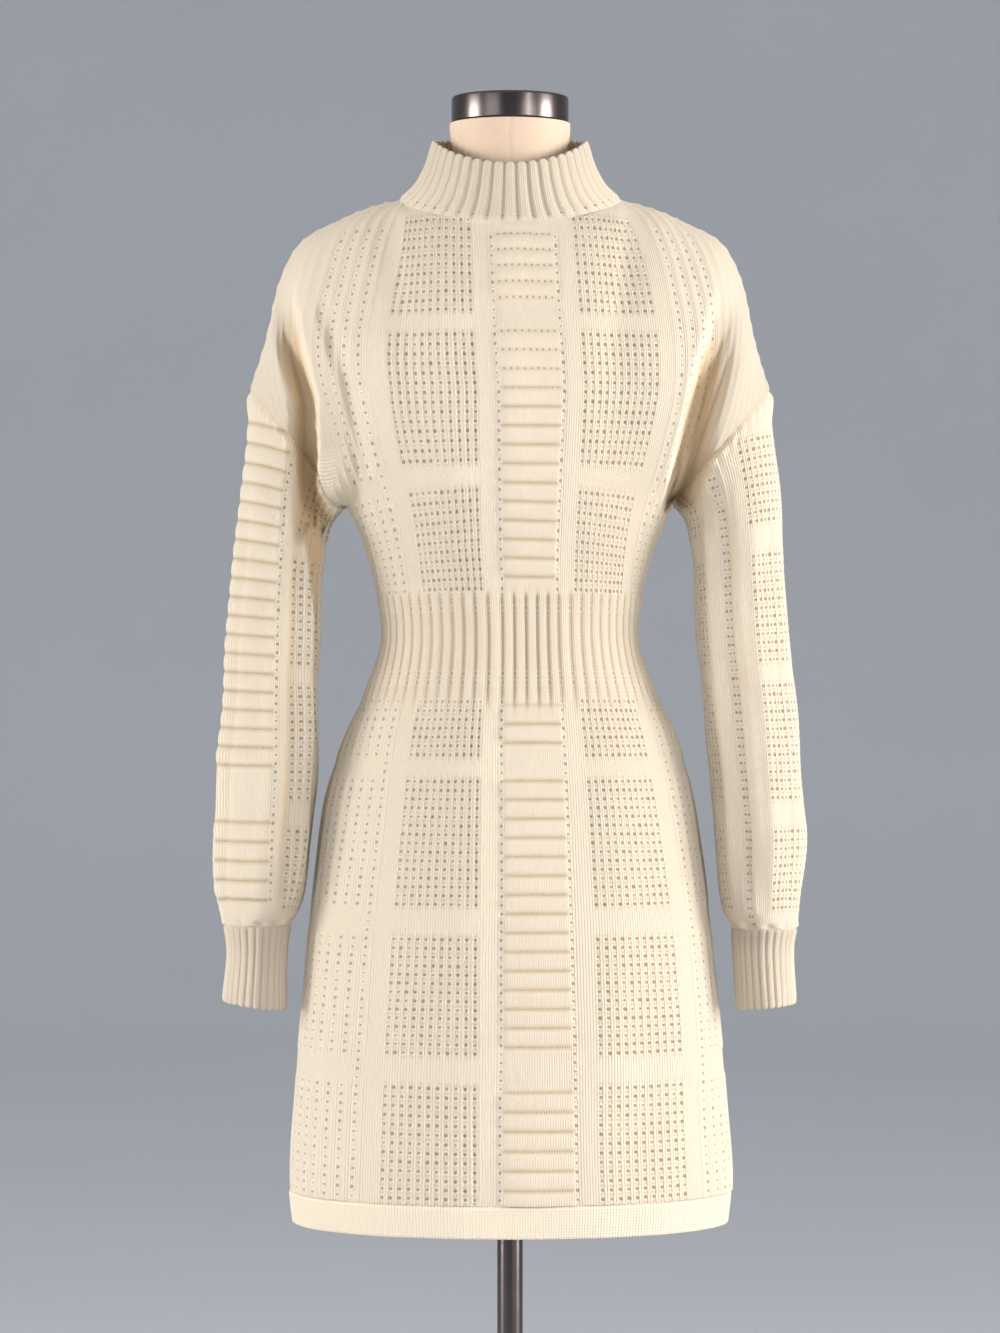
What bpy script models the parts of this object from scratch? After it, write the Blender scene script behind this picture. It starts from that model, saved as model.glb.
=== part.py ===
"""Sweater dress on a limbless dress form with a pole stand.

The frame: the origin is at the centre of the base plate's underside, +Z is up, the dress
faces -Y, and +X is the wearer's left. Every table gives the outer face of the cloth.
Each cloth piece is a wall: a grid of points, and the same grid moved inwards.
"""

import math

import bpy
import numpy as np

# Cloth, in metres
JERSEY = 0.0022          # thickness of the plain and eyelet knit
RIB = 0.0030             # thickness of the ribs and the turned hem
GAP = 0.0003             # between two pieces at a seam

# Heights of the dress
HEM_BOTTOM = 0.612
HEM_TOP = 0.641
WAIST_BOTTOM = 1.080
WAIST_TOP = 1.159
UNDERARM_HEIGHT = 1.243

# Rings of the body below the underarm
BODY_COLUMNS = ("height", "half_width", "front", "back")
BODY = (
    (0.612, 0.1905, 0.1260, 0.1330),
    (0.640, 0.1935, 0.1280, 0.1350),
    (0.740, 0.1885, 0.1240, 0.1330),
    (0.860, 0.1780, 0.1180, 0.1290),
    (0.930, 0.1700, 0.1120, 0.1230),
    (1.000, 0.1575, 0.1040, 0.1110),
    (1.045, 0.1430, 0.0975, 0.0985),
    (1.080, 0.1262, 0.0920, 0.0875),
    (1.128, 0.1118, 0.0870, 0.0780),
    (1.160, 0.1160, 0.0900, 0.0780),
    (1.205, 0.1275, 0.0990, 0.0820),
    (1.243, 0.1430, 0.1080, 0.0880),
)

# Middle of the front and of the back, from the underarm to the neckline: height, depth
FRONT_MIDDLE = ((1.243, 0.108), (1.300, 0.120), (1.350, 0.124), (1.400, 0.119), (1.445, 0.105), (1.4836, 0.084))
BACK_MIDDLE = ((1.243, 0.088), (1.300, 0.095), (1.350, 0.099), (1.410, 0.101), (1.465, 0.094), (1.5130, 0.080))

# The neckline, where the collar is sewn on
NECK_HALF_WIDTH = 0.097
NECK_SIDE_HEIGHT = 1.511
NECK_FRONT = (0.084, 1.4836)
NECK_BACK = (0.080, 1.5130)
NECK_LEAN = math.radians(50)       # how far the seam allowance leans up from level

# The shoulder line from the neck to the top of the armhole: distance from the middle, height
SHOULDER = ((0.097, 1.511), (0.150, 1.4925), (0.187, 1.4700), (0.2010, 1.4430), (0.2130, 1.3900), (0.2280, 1.3430))
UNDERARM = (0.143, 1.243)
ARMHOLE_HALF_DEPTH = 0.054
NECK_SHARE = 0.36                  # share of a panel's half width that the neckline takes

# Sleeve rings: outer edge, inner edge, half depth, how far the middle is to the front
SLEEVE_COLUMNS = ("outer_x", "outer_z", "inner_x", "inner_z", "half_depth", "forward")
SLEEVE_LEFT = (
    (0.2280, 1.343, 0.1430, 1.243, 0.0540, 0.000),
    (0.2335, 1.290, 0.1560, 1.224, 0.0545, 0.002),
    (0.2378, 1.236, 0.1605, 1.192, 0.0540, 0.005),
    (0.2408, 1.182, 0.1630, 1.155, 0.0530, 0.008),
    (0.2448, 1.124, 0.1655, 1.108, 0.0520, 0.010),
    (0.2508, 1.068, 0.1705, 1.060, 0.0510, 0.012),
    (0.2552, 1.012, 0.1750, 1.010, 0.0510, 0.013),
    (0.2592, 0.956, 0.1795, 0.956, 0.0510, 0.014),
    (0.2565, 0.915, 0.1820, 0.915, 0.0480, 0.015),
    (0.2530, 0.886, 0.1880, 0.886, 0.0410, 0.015),
    (0.2505, 0.871, 0.1950, 0.871, 0.0365, 0.015),
)
SLEEVE_RIGHT = (
    (0.2280, 1.343, 0.1430, 1.243, 0.0540, 0.000),
    (0.2325, 1.286, 0.1580, 1.222, 0.0545, 0.002),
    (0.2370, 1.232, 0.1630, 1.188, 0.0540, 0.004),
    (0.2430, 1.174, 0.1665, 1.146, 0.0530, 0.006),
    (0.2480, 1.110, 0.1680, 1.094, 0.0530, 0.008),
    (0.2525, 1.052, 0.1680, 1.044, 0.0535, 0.010),
    (0.2575, 1.002, 0.1690, 0.998, 0.0540, 0.012),
    (0.2592, 0.950, 0.1745, 0.948, 0.0540, 0.013),
    (0.2590, 0.908, 0.1790, 0.908, 0.0500, 0.014),
    (0.2545, 0.886, 0.1865, 0.886, 0.0420, 0.014),
    (0.2500, 0.874, 0.1930, 0.874, 0.0370, 0.014),
)
# Cuff rings, from the sleeve down, in the same columns
CUFF_LEFT = (
    (0.2505, 0.871, 0.1950, 0.871, 0.0365, 0.015),
    (0.2475, 0.850, 0.1962, 0.850, 0.0350, 0.015),
    (0.2500, 0.806, 0.1990, 0.801, 0.0350, 0.014),
)
CUFF_RIGHT = (
    (0.2500, 0.874, 0.1930, 0.874, 0.0370, 0.014),
    (0.2472, 0.848, 0.1965, 0.848, 0.0350, 0.014),
    (0.2515, 0.808, 0.1972, 0.800, 0.0355, 0.013),
)

# Collar rings above the neckline: how far up, half width, front depth, back depth
COLLAR_COLUMNS = ("share", "half_width", "front", "back")
COLLAR = (
    (0.00, 0.0970, 0.0840, 0.0800),
    (0.22, 0.0845, 0.0770, 0.0720),
    (0.50, 0.0760, 0.0715, 0.0670),
    (1.00, 0.0675, 0.0640, 0.0630),
)
COLLAR_TOP_SIDE = 1.5625
COLLAR_TOP_FRONT = 1.5365
COLLAR_TOP_BACK = 1.5720

# Large folds beside the armholes, in a panel's own grid. side is +1 for the wearer's left,
# low and high are where along the armhole it runs, at_low and at_high how far out it lies
# there, inner and outer its half widths, and push how far it moves the cloth.
FOLD_COLUMNS = ("side", "low", "high", "at_low", "at_high", "inner", "outer", "push")
FRONT_FOLDS = (
    (+1, 0.00, 0.90, 0.965, 0.770, 0.050, 0.085, (0.000, 0.030, 0.000)),
    (+1, 0.02, 0.75, 0.860, 0.700, 0.090, 0.060, (0.004, -0.006, 0.000)),
    (-1, 0.00, 0.92, 0.960, 0.790, 0.045, 0.075, (0.006, 0.032, 0.000)),
    (-1, 0.00, 0.62, 0.860, 0.760, 0.110, 0.060, (-0.014, -0.010, -0.004)),
)
BACK_FOLDS = (
    (+1, 0.00, 0.85, 0.960, 0.800, 0.060, 0.090, (0.000, -0.022, 0.000)),
    (-1, 0.00, 0.88, 0.960, 0.790, 0.060, 0.085, (0.000, -0.024, 0.000)),
)

# The form
FORM_BOTTOM = 0.760
FORM_COLUMNS = ("height", "half_width", "front", "back")
FORM = (
    (0.7600, 0.1480, 0.0960, 0.1060),
    (0.7720, 0.1580, 0.1030, 0.1140),
    (0.8300, 0.1660, 0.1080, 0.1190),
    (0.9200, 0.1630, 0.1060, 0.1160),
    (1.0000, 0.1480, 0.0965, 0.1020),
    (1.0450, 0.1330, 0.0900, 0.0900),
    (1.0800, 0.1180, 0.0850, 0.0800),
    (1.1280, 0.1060, 0.0810, 0.0720),
    (1.1600, 0.1095, 0.0835, 0.0720),
    (1.2050, 0.1200, 0.0925, 0.0760),
    (1.2430, 0.1300, 0.1010, 0.0820),
    (1.3000, 0.1400, 0.1120, 0.0880),
    (1.3500, 0.1470, 0.1140, 0.0870),
    (1.4000, 0.1560, 0.1040, 0.0860),
    (1.4400, 0.1620, 0.0850, 0.0770),
    (1.4620, 0.1560, 0.0710, 0.0680),
    (1.4790, 0.1200, 0.0640, 0.0620),
    (1.4950, 0.0740, 0.0590, 0.0590),
    (1.5150, 0.0560, 0.0545, 0.0545),
    (1.5772, 0.0530, 0.0530, 0.0530),
)
CAP_BOTTOM = 1.5775
CAP_TOP = 1.6010
CAP_RADIUS = 0.0515
CAP_EDGE = 0.0030

# The stand
FLANGE_RADIUS = 0.045
FLANGE_HEIGHT = 0.012
POLE_RADIUS = 0.0113
SOCKET_RADIUS = 0.024
SOCKET_HEIGHT = 0.060
PLATE_RADIUS = 0.190
PLATE_HEIGHT = 0.010
STAND_EDGE = 0.0015

# Grid sizes, in faces
SHOULDER_FACES = 7
NECK_FACES = 10
LOWER_BODICE_FACES = 3
ARMHOLE_FACES = 11
SKIRT_FACES = 7
PANEL_FACES = 20
WAIST_FACES = 3
COLLAR_FACES = 4
SLEEVE_FACES = 12
CUFF_FACES = 3
FORM_FACES_AROUND = 32
FORM_FACES_UP = 28
ROUND_FACES = 40

# Name: colour, roughness, metallic
MATERIALS = {
    "knit": ((0.83, 0.74, 0.58), 0.9, 0.0),
    "linen": ((0.74, 0.60, 0.46), 0.85, 0.0),
    "gunmetal": ((0.16, 0.14, 0.14), 0.3, 1.0),
    "base_steel": ((0.12, 0.11, 0.11), 0.45, 1.0),
}


def column(columns, table, name):
    return np.array([row[columns.index(name)] for row in table], float)


def through(knots, values, at):
    """A smooth curve through the values at the knots: cubic, with each slope from its neighbours."""
    knots, at = np.asarray(knots, float), np.asarray(at, float)
    values = np.asarray(values, float)
    slopes = np.gradient(values, knots, axis=0)
    left = np.clip(np.searchsorted(knots, at, side="right") - 1, 0, len(knots) - 2)
    step = knots[left + 1] - knots[left]
    f = (at - knots[left]) / step
    if values.ndim > 1:
        step, f = step[..., None], f[..., None]
    start, end = values[left], values[left + 1]
    out, into = slopes[left] * step, slopes[left + 1] * step
    return (
        (2 * f**3 - 3 * f**2 + 1) * start
        + (f**3 - 2 * f**2 + f) * out
        + (3 * f**2 - 2 * f**3) * end
        + (f**3 - f**2) * into
    )


def along(points, share):
    """Points of the smooth curve through `points`, at shares of its length."""
    points = np.asarray(points, float)
    steps = np.linalg.norm(np.diff(points, axis=0), axis=1)
    knots = np.concatenate([[0.0], np.cumsum(steps)])
    return through(knots, points, np.asarray(share) * knots[-1])


def smoothstep(low, high, value):
    f = np.clip((value - low) / (high - low), 0, 1)
    return f * f * (3 - 2 * f)


def body_rings(across, heights, face):
    """The front (face -1) or back (+1) of the body: half ellipses, one for each height."""
    depth_name = "front" if face < 0 else "back"
    knots = column(BODY_COLUMNS, BODY, "height")
    half_width = through(knots, column(BODY_COLUMNS, BODY, "half_width"), heights)[:, None]
    depth = through(knots, column(BODY_COLUMNS, BODY, depth_name), heights)[:, None]
    angle = across[None, :] * math.pi / 2
    x = half_width * np.sin(angle)
    y = face * depth * np.cos(angle)
    return np.stack([x, y, heights[:, None] + 0 * x], axis=-1)


def neckline(angle, face):
    """Points of the neckline: angle is 0 in the middle and a right angle at the shoulder."""
    depth, height = NECK_FRONT if face < 0 else NECK_BACK
    middle = np.clip(np.cos(angle), 0, 1)
    x = NECK_HALF_WIDTH * np.sin(angle)
    z = NECK_SIDE_HEIGHT + (height - NECK_SIDE_HEIGHT) * middle**1.2
    return np.stack([x, face * depth * middle, z], axis=-1)


def neck_lean(angle, face):
    """The direction of the seam's thickness at the neckline, outwards and up."""
    level = np.stack([np.sin(angle), face * np.clip(np.cos(angle), 0, 1), 0 * angle], axis=-1)
    return level * math.cos(NECK_LEAN) + np.array([0, 0, math.sin(NECK_LEAN)])


def armhole(share, face, side):
    """The armhole from the underarm (share 0) to the shoulder (1): half an ellipse in a slanted plane."""
    low, top = np.array(UNDERARM), np.array(SHOULDER[-1])
    angle = np.asarray(share) * math.pi
    middle, reach = (low + top) / 2, (low - top) / 2
    flat = middle + reach * np.cos(angle)[..., None]
    y = face * ARMHOLE_HALF_DEPTH * np.sin(angle)
    return np.stack([side * flat[..., 0], y, flat[..., 1]], axis=-1)


def armhole_normal(side):
    """The direction in which the sleeve leaves the armhole."""
    rise_x, rise_z = np.array(SHOULDER[-1]) - np.array(UNDERARM)
    length = math.hypot(rise_x, rise_z)
    return np.array([side * rise_z / length, 0.0, -rise_x / length])


def top_edge(across, face):
    """The neckline in the middle, and the shoulder line on each side of it."""
    share = np.clip((np.abs(across) - NECK_SHARE) / (1 - NECK_SHARE), 0, 1)
    ridge = along(SHOULDER, share)
    shoulder = np.stack([np.sign(across) * ridge[:, 0], 0 * across, ridge[:, 1]], axis=-1)
    neck = neckline(np.clip(across / NECK_SHARE, -1, 1) * math.pi / 2, face)
    return np.where((np.abs(across) <= NECK_SHARE)[:, None], neck, shoulder)


def patch(bottom, top, middle, edge, up, out):
    """A patch between four edges: what each pair of edges gives, less what their corners give."""
    up, out = up[:, None], out[None, :]
    out = smoothstep(0, 1, out)
    between = (1 - up) * bottom[None, :] + up * top[None, :]
    first = middle[:, None] - ((1 - up) * bottom[0] + up * top[0])
    last = edge[:, None] - ((1 - up) * bottom[-1] + up * top[-1])
    return between + (1 - out) * first + out * last


def folded(grid, across, up, folds):
    """Moves the cloth of a panel along its large folds. No fold reaches the panel's edge."""
    across, up = across[None, :], up[:, None]
    for side, low, high, at_low, at_high, inner, outer, push in folds:
        length = (up - low) / (high - low)
        middle = at_low + (at_high - at_low) * np.clip(length, 0, 1)
        away = across * side - middle
        width = np.where(away < 0, inner, outer)
        size = np.exp(-((away / width) ** 2))
        size = size * smoothstep(0, 0.12, length) * (1 - smoothstep(0.45, 1.0, length))
        size = size * (1 - np.abs(across) ** 16)
        grid = grid + size[..., None] * np.array(push)
    return grid


def upper_bodice(across, up, face):
    """The bodice from the underarm to the shoulders, one half at a time from the middle out."""
    profile = np.array(FRONT_MIDDLE if face < 0 else BACK_MIDDLE)
    middle = along(profile, up)
    depth_up = 1 - np.sqrt(np.clip(1 - up**2, 0, 1))
    halves = []
    for side in (-1, 1):
        out = np.sort(np.abs(across[across * side >= 0]))
        bottom = body_rings(side * out, np.array([UNDERARM_HEIGHT]), face)[0]
        top = top_edge(side * out, face)
        edge = armhole(up, face, side)
        x = patch(bottom[:, 0], top[:, 0], 0 * up, edge[:, 0], up, out)
        y = patch(bottom[:, 1], top[:, 1], face * middle[:, 1], edge[:, 1], depth_up, out)
        z = patch(bottom[:, 2], top[:, 2], middle[:, 0], edge[:, 2], up, out)
        half = np.stack([x, y, z], axis=-1)
        halves.append(half[:, ::-1] if side < 0 else half[:, 1:])
    grid = np.concatenate(halves, axis=1)
    return folded(grid, across, up, FRONT_FOLDS if face < 0 else BACK_FOLDS)


def sleeve_rings(table, around, rows):
    """Rings of a sleeve or cuff: ellipses between their outer and inner edges.

    around runs from the inner edge (0) over the front to the outer edge (pi) and back.
    """
    knots = np.arange(len(table))
    outer_x, outer_z, inner_x, inner_z, half_depth, forward = (
        through(knots, column(SLEEVE_COLUMNS, table, name), rows)[:, None] for name in SLEEVE_COLUMNS
    )
    inwards, depth = np.cos(around)[None, :], np.sin(around)[None, :]
    x = (outer_x + inner_x) / 2 + (inner_x - outer_x) / 2 * inwards
    z = (outer_z + inner_z) / 2 + (inner_z - outer_z) / 2 * inwards
    y = -forward - half_depth * depth
    return np.stack([x, y, z], axis=-1)


def grid_normals(grid, closed):
    """Outward directions of a grid whose columns run to +X at the front and whose rows run up."""
    if closed:
        wide = np.concatenate([grid[:, -1:], grid, grid[:, :1]], axis=1)
        across = (wide[:, 2:] - wide[:, :-2]) / 2
    else:
        across = np.gradient(grid, axis=1)
    normals = np.cross(across, np.gradient(grid, axis=0))
    return normals / np.linalg.norm(normals, axis=-1, keepdims=True)


def unit(vectors):
    return vectors / np.linalg.norm(vectors, axis=-1, keepdims=True)


def flatten(directions, plane):
    """Takes a seam plane's direction out of the directions, so that the seam's faces lie in the plane."""
    flat = directions - (directions @ plane)[..., None] * plane
    return flat / np.linalg.norm(flat, axis=-1, keepdims=True)


def material(name):
    found = bpy.data.materials.get(name)
    if found:
        return found
    colour, roughness, metallic = MATERIALS[name]
    made = bpy.data.materials.new(name)
    made.use_nodes = True
    shader = made.node_tree.nodes["Principled BSDF"]
    shader.inputs["Base Color"].default_value = (*colour, 1)
    shader.inputs["Roughness"].default_value = roughness
    shader.inputs["Metallic"].default_value = metallic
    made.diffuse_color = (*colour, 1)
    return made


def add_object(name, points, faces, finish):
    mesh = bpy.data.meshes.new(name)
    mesh.from_pydata(points.tolist(), [], faces)
    mesh.validate()
    mesh.materials.append(material(finish))
    mesh.shade_smooth()
    mesh.set_sharp_from_angle(angle=math.radians(50))
    made = bpy.data.objects.new(name, mesh)
    bpy.context.scene.collection.objects.link(made)
    return made


def grid_faces(rows, columns, closed, first=0, turned=False):
    """Quads of a grid of points stored row by row, from point number `first` on."""
    faces = []
    for row in range(rows - 1):
        for place in range(columns if closed else columns - 1):
            beside = (place + 1) % columns
            low, high = first + row * columns, first + (row + 1) * columns
            quad = (low + place, low + beside, high + beside, high + place)
            faces.append(quad[::-1] if turned else quad)
    return faces


def wall(name, grid, inwards, thickness, finish, closed=False):
    """A solid between a grid and the same grid moved along `inwards` by the thickness."""
    rows, columns = grid.shape[:2]
    points = np.concatenate([grid.reshape(-1, 3), (grid + inwards * thickness).reshape(-1, 3)])
    count = rows * columns
    faces = grid_faces(rows, columns, closed) + grid_faces(rows, columns, closed, count, True)
    rim = list(range(columns))
    top = [(rows - 1) * columns + place for place in range(columns)]
    if closed:
        edges = [(rim + rim[:1])[::-1], top + top[:1]]
    else:
        left = [row * columns for row in range(rows)]
        right = [row * columns + columns - 1 for row in range(rows)]
        edges = [rim[::-1] + left[1:] + top[1:] + right[::-1][1:]]
    for edge in edges:
        faces += [(a, b, b + count, a + count) for a, b in zip(edge[:-1], edge[1:])]
    return add_object(name, points, faces, finish)


def bodice(name, face):
    """A bodice panel from the waist rib to the shoulders and the neckline."""
    shoulder = np.linspace(NECK_SHARE, 1, SHOULDER_FACES + 1)
    neck = np.linspace(-NECK_SHARE, NECK_SHARE, NECK_FACES + 1)
    across = np.concatenate([-shoulder[:0:-1], neck, shoulder[1:]])
    heights = np.linspace(WAIST_TOP + GAP / 2, UNDERARM_HEIGHT, LOWER_BODICE_FACES + 1)[:-1]
    up = np.linspace(0, 1, ARMHOLE_FACES + 1)
    grid = np.concatenate([body_rings(across, heights, face), upper_bodice(across, up, face)])
    outwards = grid_normals(grid, False) * -face
    sides = (0, -1)
    outwards[0] = flatten(outwards[0], np.array([0.0, 0, 1]))
    at_neck = np.abs(across) <= NECK_SHARE + 1e-9
    angle = across / NECK_SHARE * math.pi / 2
    outwards[-1, at_neck] = neck_lean(angle[at_neck], face)
    outwards[-1, ~at_neck] = flatten(outwards[-1, ~at_neck], np.array([0.0, 1, 0]))
    for place, side in zip(sides, (-1, 1)):
        # The ellipse's own direction, in the plane of the armhole, from the loop's middle.
        loop = armhole(up, face, side)
        tangent = np.gradient(loop, axis=0)
        normal = armhole_normal(side)
        outwards[LOWER_BODICE_FACES:, place] = unit(np.cross(tangent, normal)) * (face * side)
        outwards[: LOWER_BODICE_FACES + 1, place] = flatten(
            outwards[: LOWER_BODICE_FACES + 1, place], np.array([0.0, 1, 0])
        )
        outwards[-1, place] = flatten(outwards[-1, place], np.array([0.0, 1, 0]))
        grid[LOWER_BODICE_FACES:, place] -= normal * GAP / 2
    grid[..., 1] = np.minimum(grid[..., 1], -GAP / 2) if face < 0 else np.maximum(grid[..., 1], GAP / 2)
    if face > 0:
        grid, outwards = grid[:, ::-1], outwards[:, ::-1]
    return wall(name, grid, -outwards, JERSEY, "knit")


def body_panel(name, low, high, faces, face, thickness):
    """The front or back of the skirt, the waist rib or the hem."""
    across = np.linspace(-1, 1, PANEL_FACES + 1)
    grid = body_rings(across, np.linspace(low, high, faces + 1), face)
    outwards = grid_normals(grid, False) * -face
    for row in (0, -1):
        outwards[row] = flatten(outwards[row], np.array([0.0, 0, 1]))
    for place in (0, -1):
        outwards[:, place] = flatten(outwards[:, place], np.array([0.0, 1, 0]))
    grid[..., 1] = np.minimum(grid[..., 1], -GAP / 2) if face < 0 else np.maximum(grid[..., 1], GAP / 2)
    if face > 0:
        grid, outwards = grid[:, ::-1], outwards[:, ::-1]
    return wall(name, grid, -outwards, thickness, "knit")


def sleeve(name, table, side):
    """A sleeve from the armhole to its cuff. Its ring starts at the underarm."""
    share = np.linspace(0, 1, ARMHOLE_FACES + 1)
    around = np.concatenate([share, 1 + share[1:-1]]) * math.pi
    grid = sleeve_rings(table, around, np.linspace(0, len(table) - 1, SLEEVE_FACES + 1))
    grid[..., 0] *= side
    normal = armhole_normal(side)
    grid[0] += normal * GAP / 2
    grid[-1, :, 2] += GAP / 2
    outwards = grid_normals(grid, True) * side
    outwards[0] = flatten(outwards[0], normal)
    outwards[-1] = flatten(outwards[-1], np.array([0.0, 0, 1]))
    if side < 0:
        grid, outwards = grid[:, ::-1], outwards[:, ::-1]
    return wall(name, grid, -outwards, JERSEY, "knit", closed=True)


def cuff(name, table, side):
    around = np.linspace(0, 2 * math.pi, 2 * ARMHOLE_FACES + 1)[:-1]
    grid = sleeve_rings(table, around, np.linspace(0, len(table) - 1, CUFF_FACES + 1))
    grid[..., 0] *= side
    grid[0, :, 2] -= GAP / 2
    outwards = grid_normals(grid, True) * side
    outwards[0] = flatten(outwards[0], np.array([0.0, 0, 1]))
    outwards[-1] = flatten(outwards[-1], np.array([0.0, 0, 1]))
    if side < 0:
        grid, outwards = grid[:, ::-1], outwards[:, ::-1]
    return wall(name, grid, -outwards, RIB, "knit", closed=True)


def collar_grid(up):
    """The collar's rings, from the neckline up. Each starts in the middle of the front."""
    half = np.linspace(-1, 1, NECK_FACES + 1) * math.pi / 2
    base = np.concatenate([neckline(half, -1), neckline(half[::-1], 1)[1:-1]])
    lean = np.concatenate([neck_lean(half, -1), neck_lean(half[::-1], 1)[1:-1]])
    turn = np.concatenate([half, half[1:-1] + math.pi])
    sine, cosine = np.sin(turn), np.cos(turn)
    shares = column(COLLAR_COLUMNS, COLLAR, "share")
    half_width, front, back = (
        through(shares, column(COLLAR_COLUMNS, COLLAR, name), up)[:, None] for name in COLLAR_COLUMNS[1:]
    )
    x = half_width * sine
    y = -np.where(cosine > 0, front, back) * cosine
    middle = np.where(cosine > 0, COLLAR_TOP_FRONT, COLLAR_TOP_BACK)
    top = COLLAR_TOP_SIDE + (middle - COLLAR_TOP_SIDE) * np.abs(cosine) ** 1.4
    z = base[:, 2] + (top - base[:, 2]) * up[:, None]
    grid = np.stack([x, y, z], axis=-1)
    grid[0] = base
    return grid, lean


def collar():
    grid, lean = collar_grid(np.linspace(0, 1, COLLAR_FACES + 1))
    grid[0, :, 2] += GAP
    outwards = grid_normals(grid, True)
    outwards[0] = lean
    outwards[-1] = unit(outwards[-1] * np.array([1, 1, 0.3]))
    return wall("collar", grid, -outwards, RIB, "knit", closed=True)


def form_body():
    """The torso and neck: stacked ellipses between a flat underside and a flat top."""
    knots = column(FORM_COLUMNS, FORM, "height")
    heights = along([(height, 0.0) for height in knots], np.linspace(0, 1, FORM_FACES_UP + 1))[:, 0]
    turn = np.arange(FORM_FACES_AROUND) * 2 * math.pi / FORM_FACES_AROUND
    half_width, front, back = (
        through(knots, column(FORM_COLUMNS, FORM, name), heights)[:, None] for name in FORM_COLUMNS[1:]
    )
    x = half_width * np.sin(turn)
    y = -np.where(np.cos(turn) > 0, front, back) * np.cos(turn)
    grid = np.stack([x, y, heights[:, None] + 0 * x], axis=-1)
    faces = grid_faces(FORM_FACES_UP + 1, FORM_FACES_AROUND, True)
    top = FORM_FACES_UP * FORM_FACES_AROUND
    faces.append(tuple(range(FORM_FACES_AROUND))[::-1])
    faces.append(tuple(top + place for place in range(FORM_FACES_AROUND)))
    return add_object("form_body", grid.reshape(-1, 3), faces, "linen")


def turned(name, profile, finish):
    """A solid turned about the pole's axis. The profile runs from the bottom's middle to the top's."""
    turn = np.arange(ROUND_FACES) * 2 * math.pi / ROUND_FACES
    rings = [(radius, height) for radius, height in profile if radius > 0]
    points = [(radius * math.cos(a), radius * math.sin(a), height) for radius, height in rings for a in turn]
    faces = grid_faces(len(rings), ROUND_FACES, True)
    last = (len(rings) - 1) * ROUND_FACES
    faces.append(tuple(range(ROUND_FACES))[::-1])
    faces.append(tuple(last + place for place in range(ROUND_FACES)))
    return add_object(name, np.array(points), faces, finish)


def disc(name, radius, low, high, edge, finish):
    """A round plate or rod with a small bevel at its top and, where it shows, at its bottom."""
    profile = ((radius - edge, low), (radius, low + edge), (radius, high - edge), (radius - edge, high))
    return turned(name, profile, finish)


def stand():
    disc("base_plate", PLATE_RADIUS, 0, PLATE_HEIGHT, STAND_EDGE, "base_steel")
    socket_low = PLATE_HEIGHT + GAP
    disc("base_socket", SOCKET_RADIUS, socket_low, socket_low + SOCKET_HEIGHT, STAND_EDGE, "gunmetal")
    flange_top = FORM_BOTTOM - GAP
    flange_low = flange_top - FLANGE_HEIGHT
    disc("form_flange", FLANGE_RADIUS, flange_low, flange_top, STAND_EDGE, "gunmetal")
    pole_low = socket_low + SOCKET_HEIGHT + GAP
    disc("pole", POLE_RADIUS, pole_low, flange_low - GAP, STAND_EDGE / 3, "gunmetal")


def clear():
    for item in list(bpy.data.objects):
        bpy.data.objects.remove(item, do_unlink=True)


def main():
    clear()
    for face, place in ((-1, "front"), (1, "back")):
        bodice(f"bodice_{place}", face)
        body_panel(f"waist_rib_{place}", WAIST_BOTTOM + GAP / 2, WAIST_TOP - GAP / 2, WAIST_FACES, face, RIB)
        body_panel(f"skirt_{place}", HEM_TOP + GAP / 2, WAIST_BOTTOM - GAP / 2, SKIRT_FACES, face, JERSEY)
        body_panel(f"hem_{place}", HEM_BOTTOM, HEM_TOP - GAP / 2, 1, face, RIB)
    for side, place, sleeve_table, cuff_table in (
        (1, "left", SLEEVE_LEFT, CUFF_LEFT),
        (-1, "right", SLEEVE_RIGHT, CUFF_RIGHT),
    ):
        sleeve(f"sleeve_{place}", sleeve_table, side)
        cuff(f"cuff_{place}", cuff_table, side)
    collar()
    form_body()
    disc("neck_cap", CAP_RADIUS, CAP_BOTTOM, CAP_TOP, CAP_EDGE, "gunmetal")
    stand()


main()
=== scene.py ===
"""Looks of a knitted sweater dress on a limbless dress form with a pole stand.

The dress faces -Y, +X is the wearer's left, and lengths are in metres. Each cloth piece is a
grid of points on a smooth base surface. The knit is a chart on that surface: U counts eyelet
columns from the middle of the ladder stripe, and V counts eyelet rows from the hem. The chart
moves the cloth along its outward direction, and the knit material reads the same U and V.
"""

import math

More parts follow.
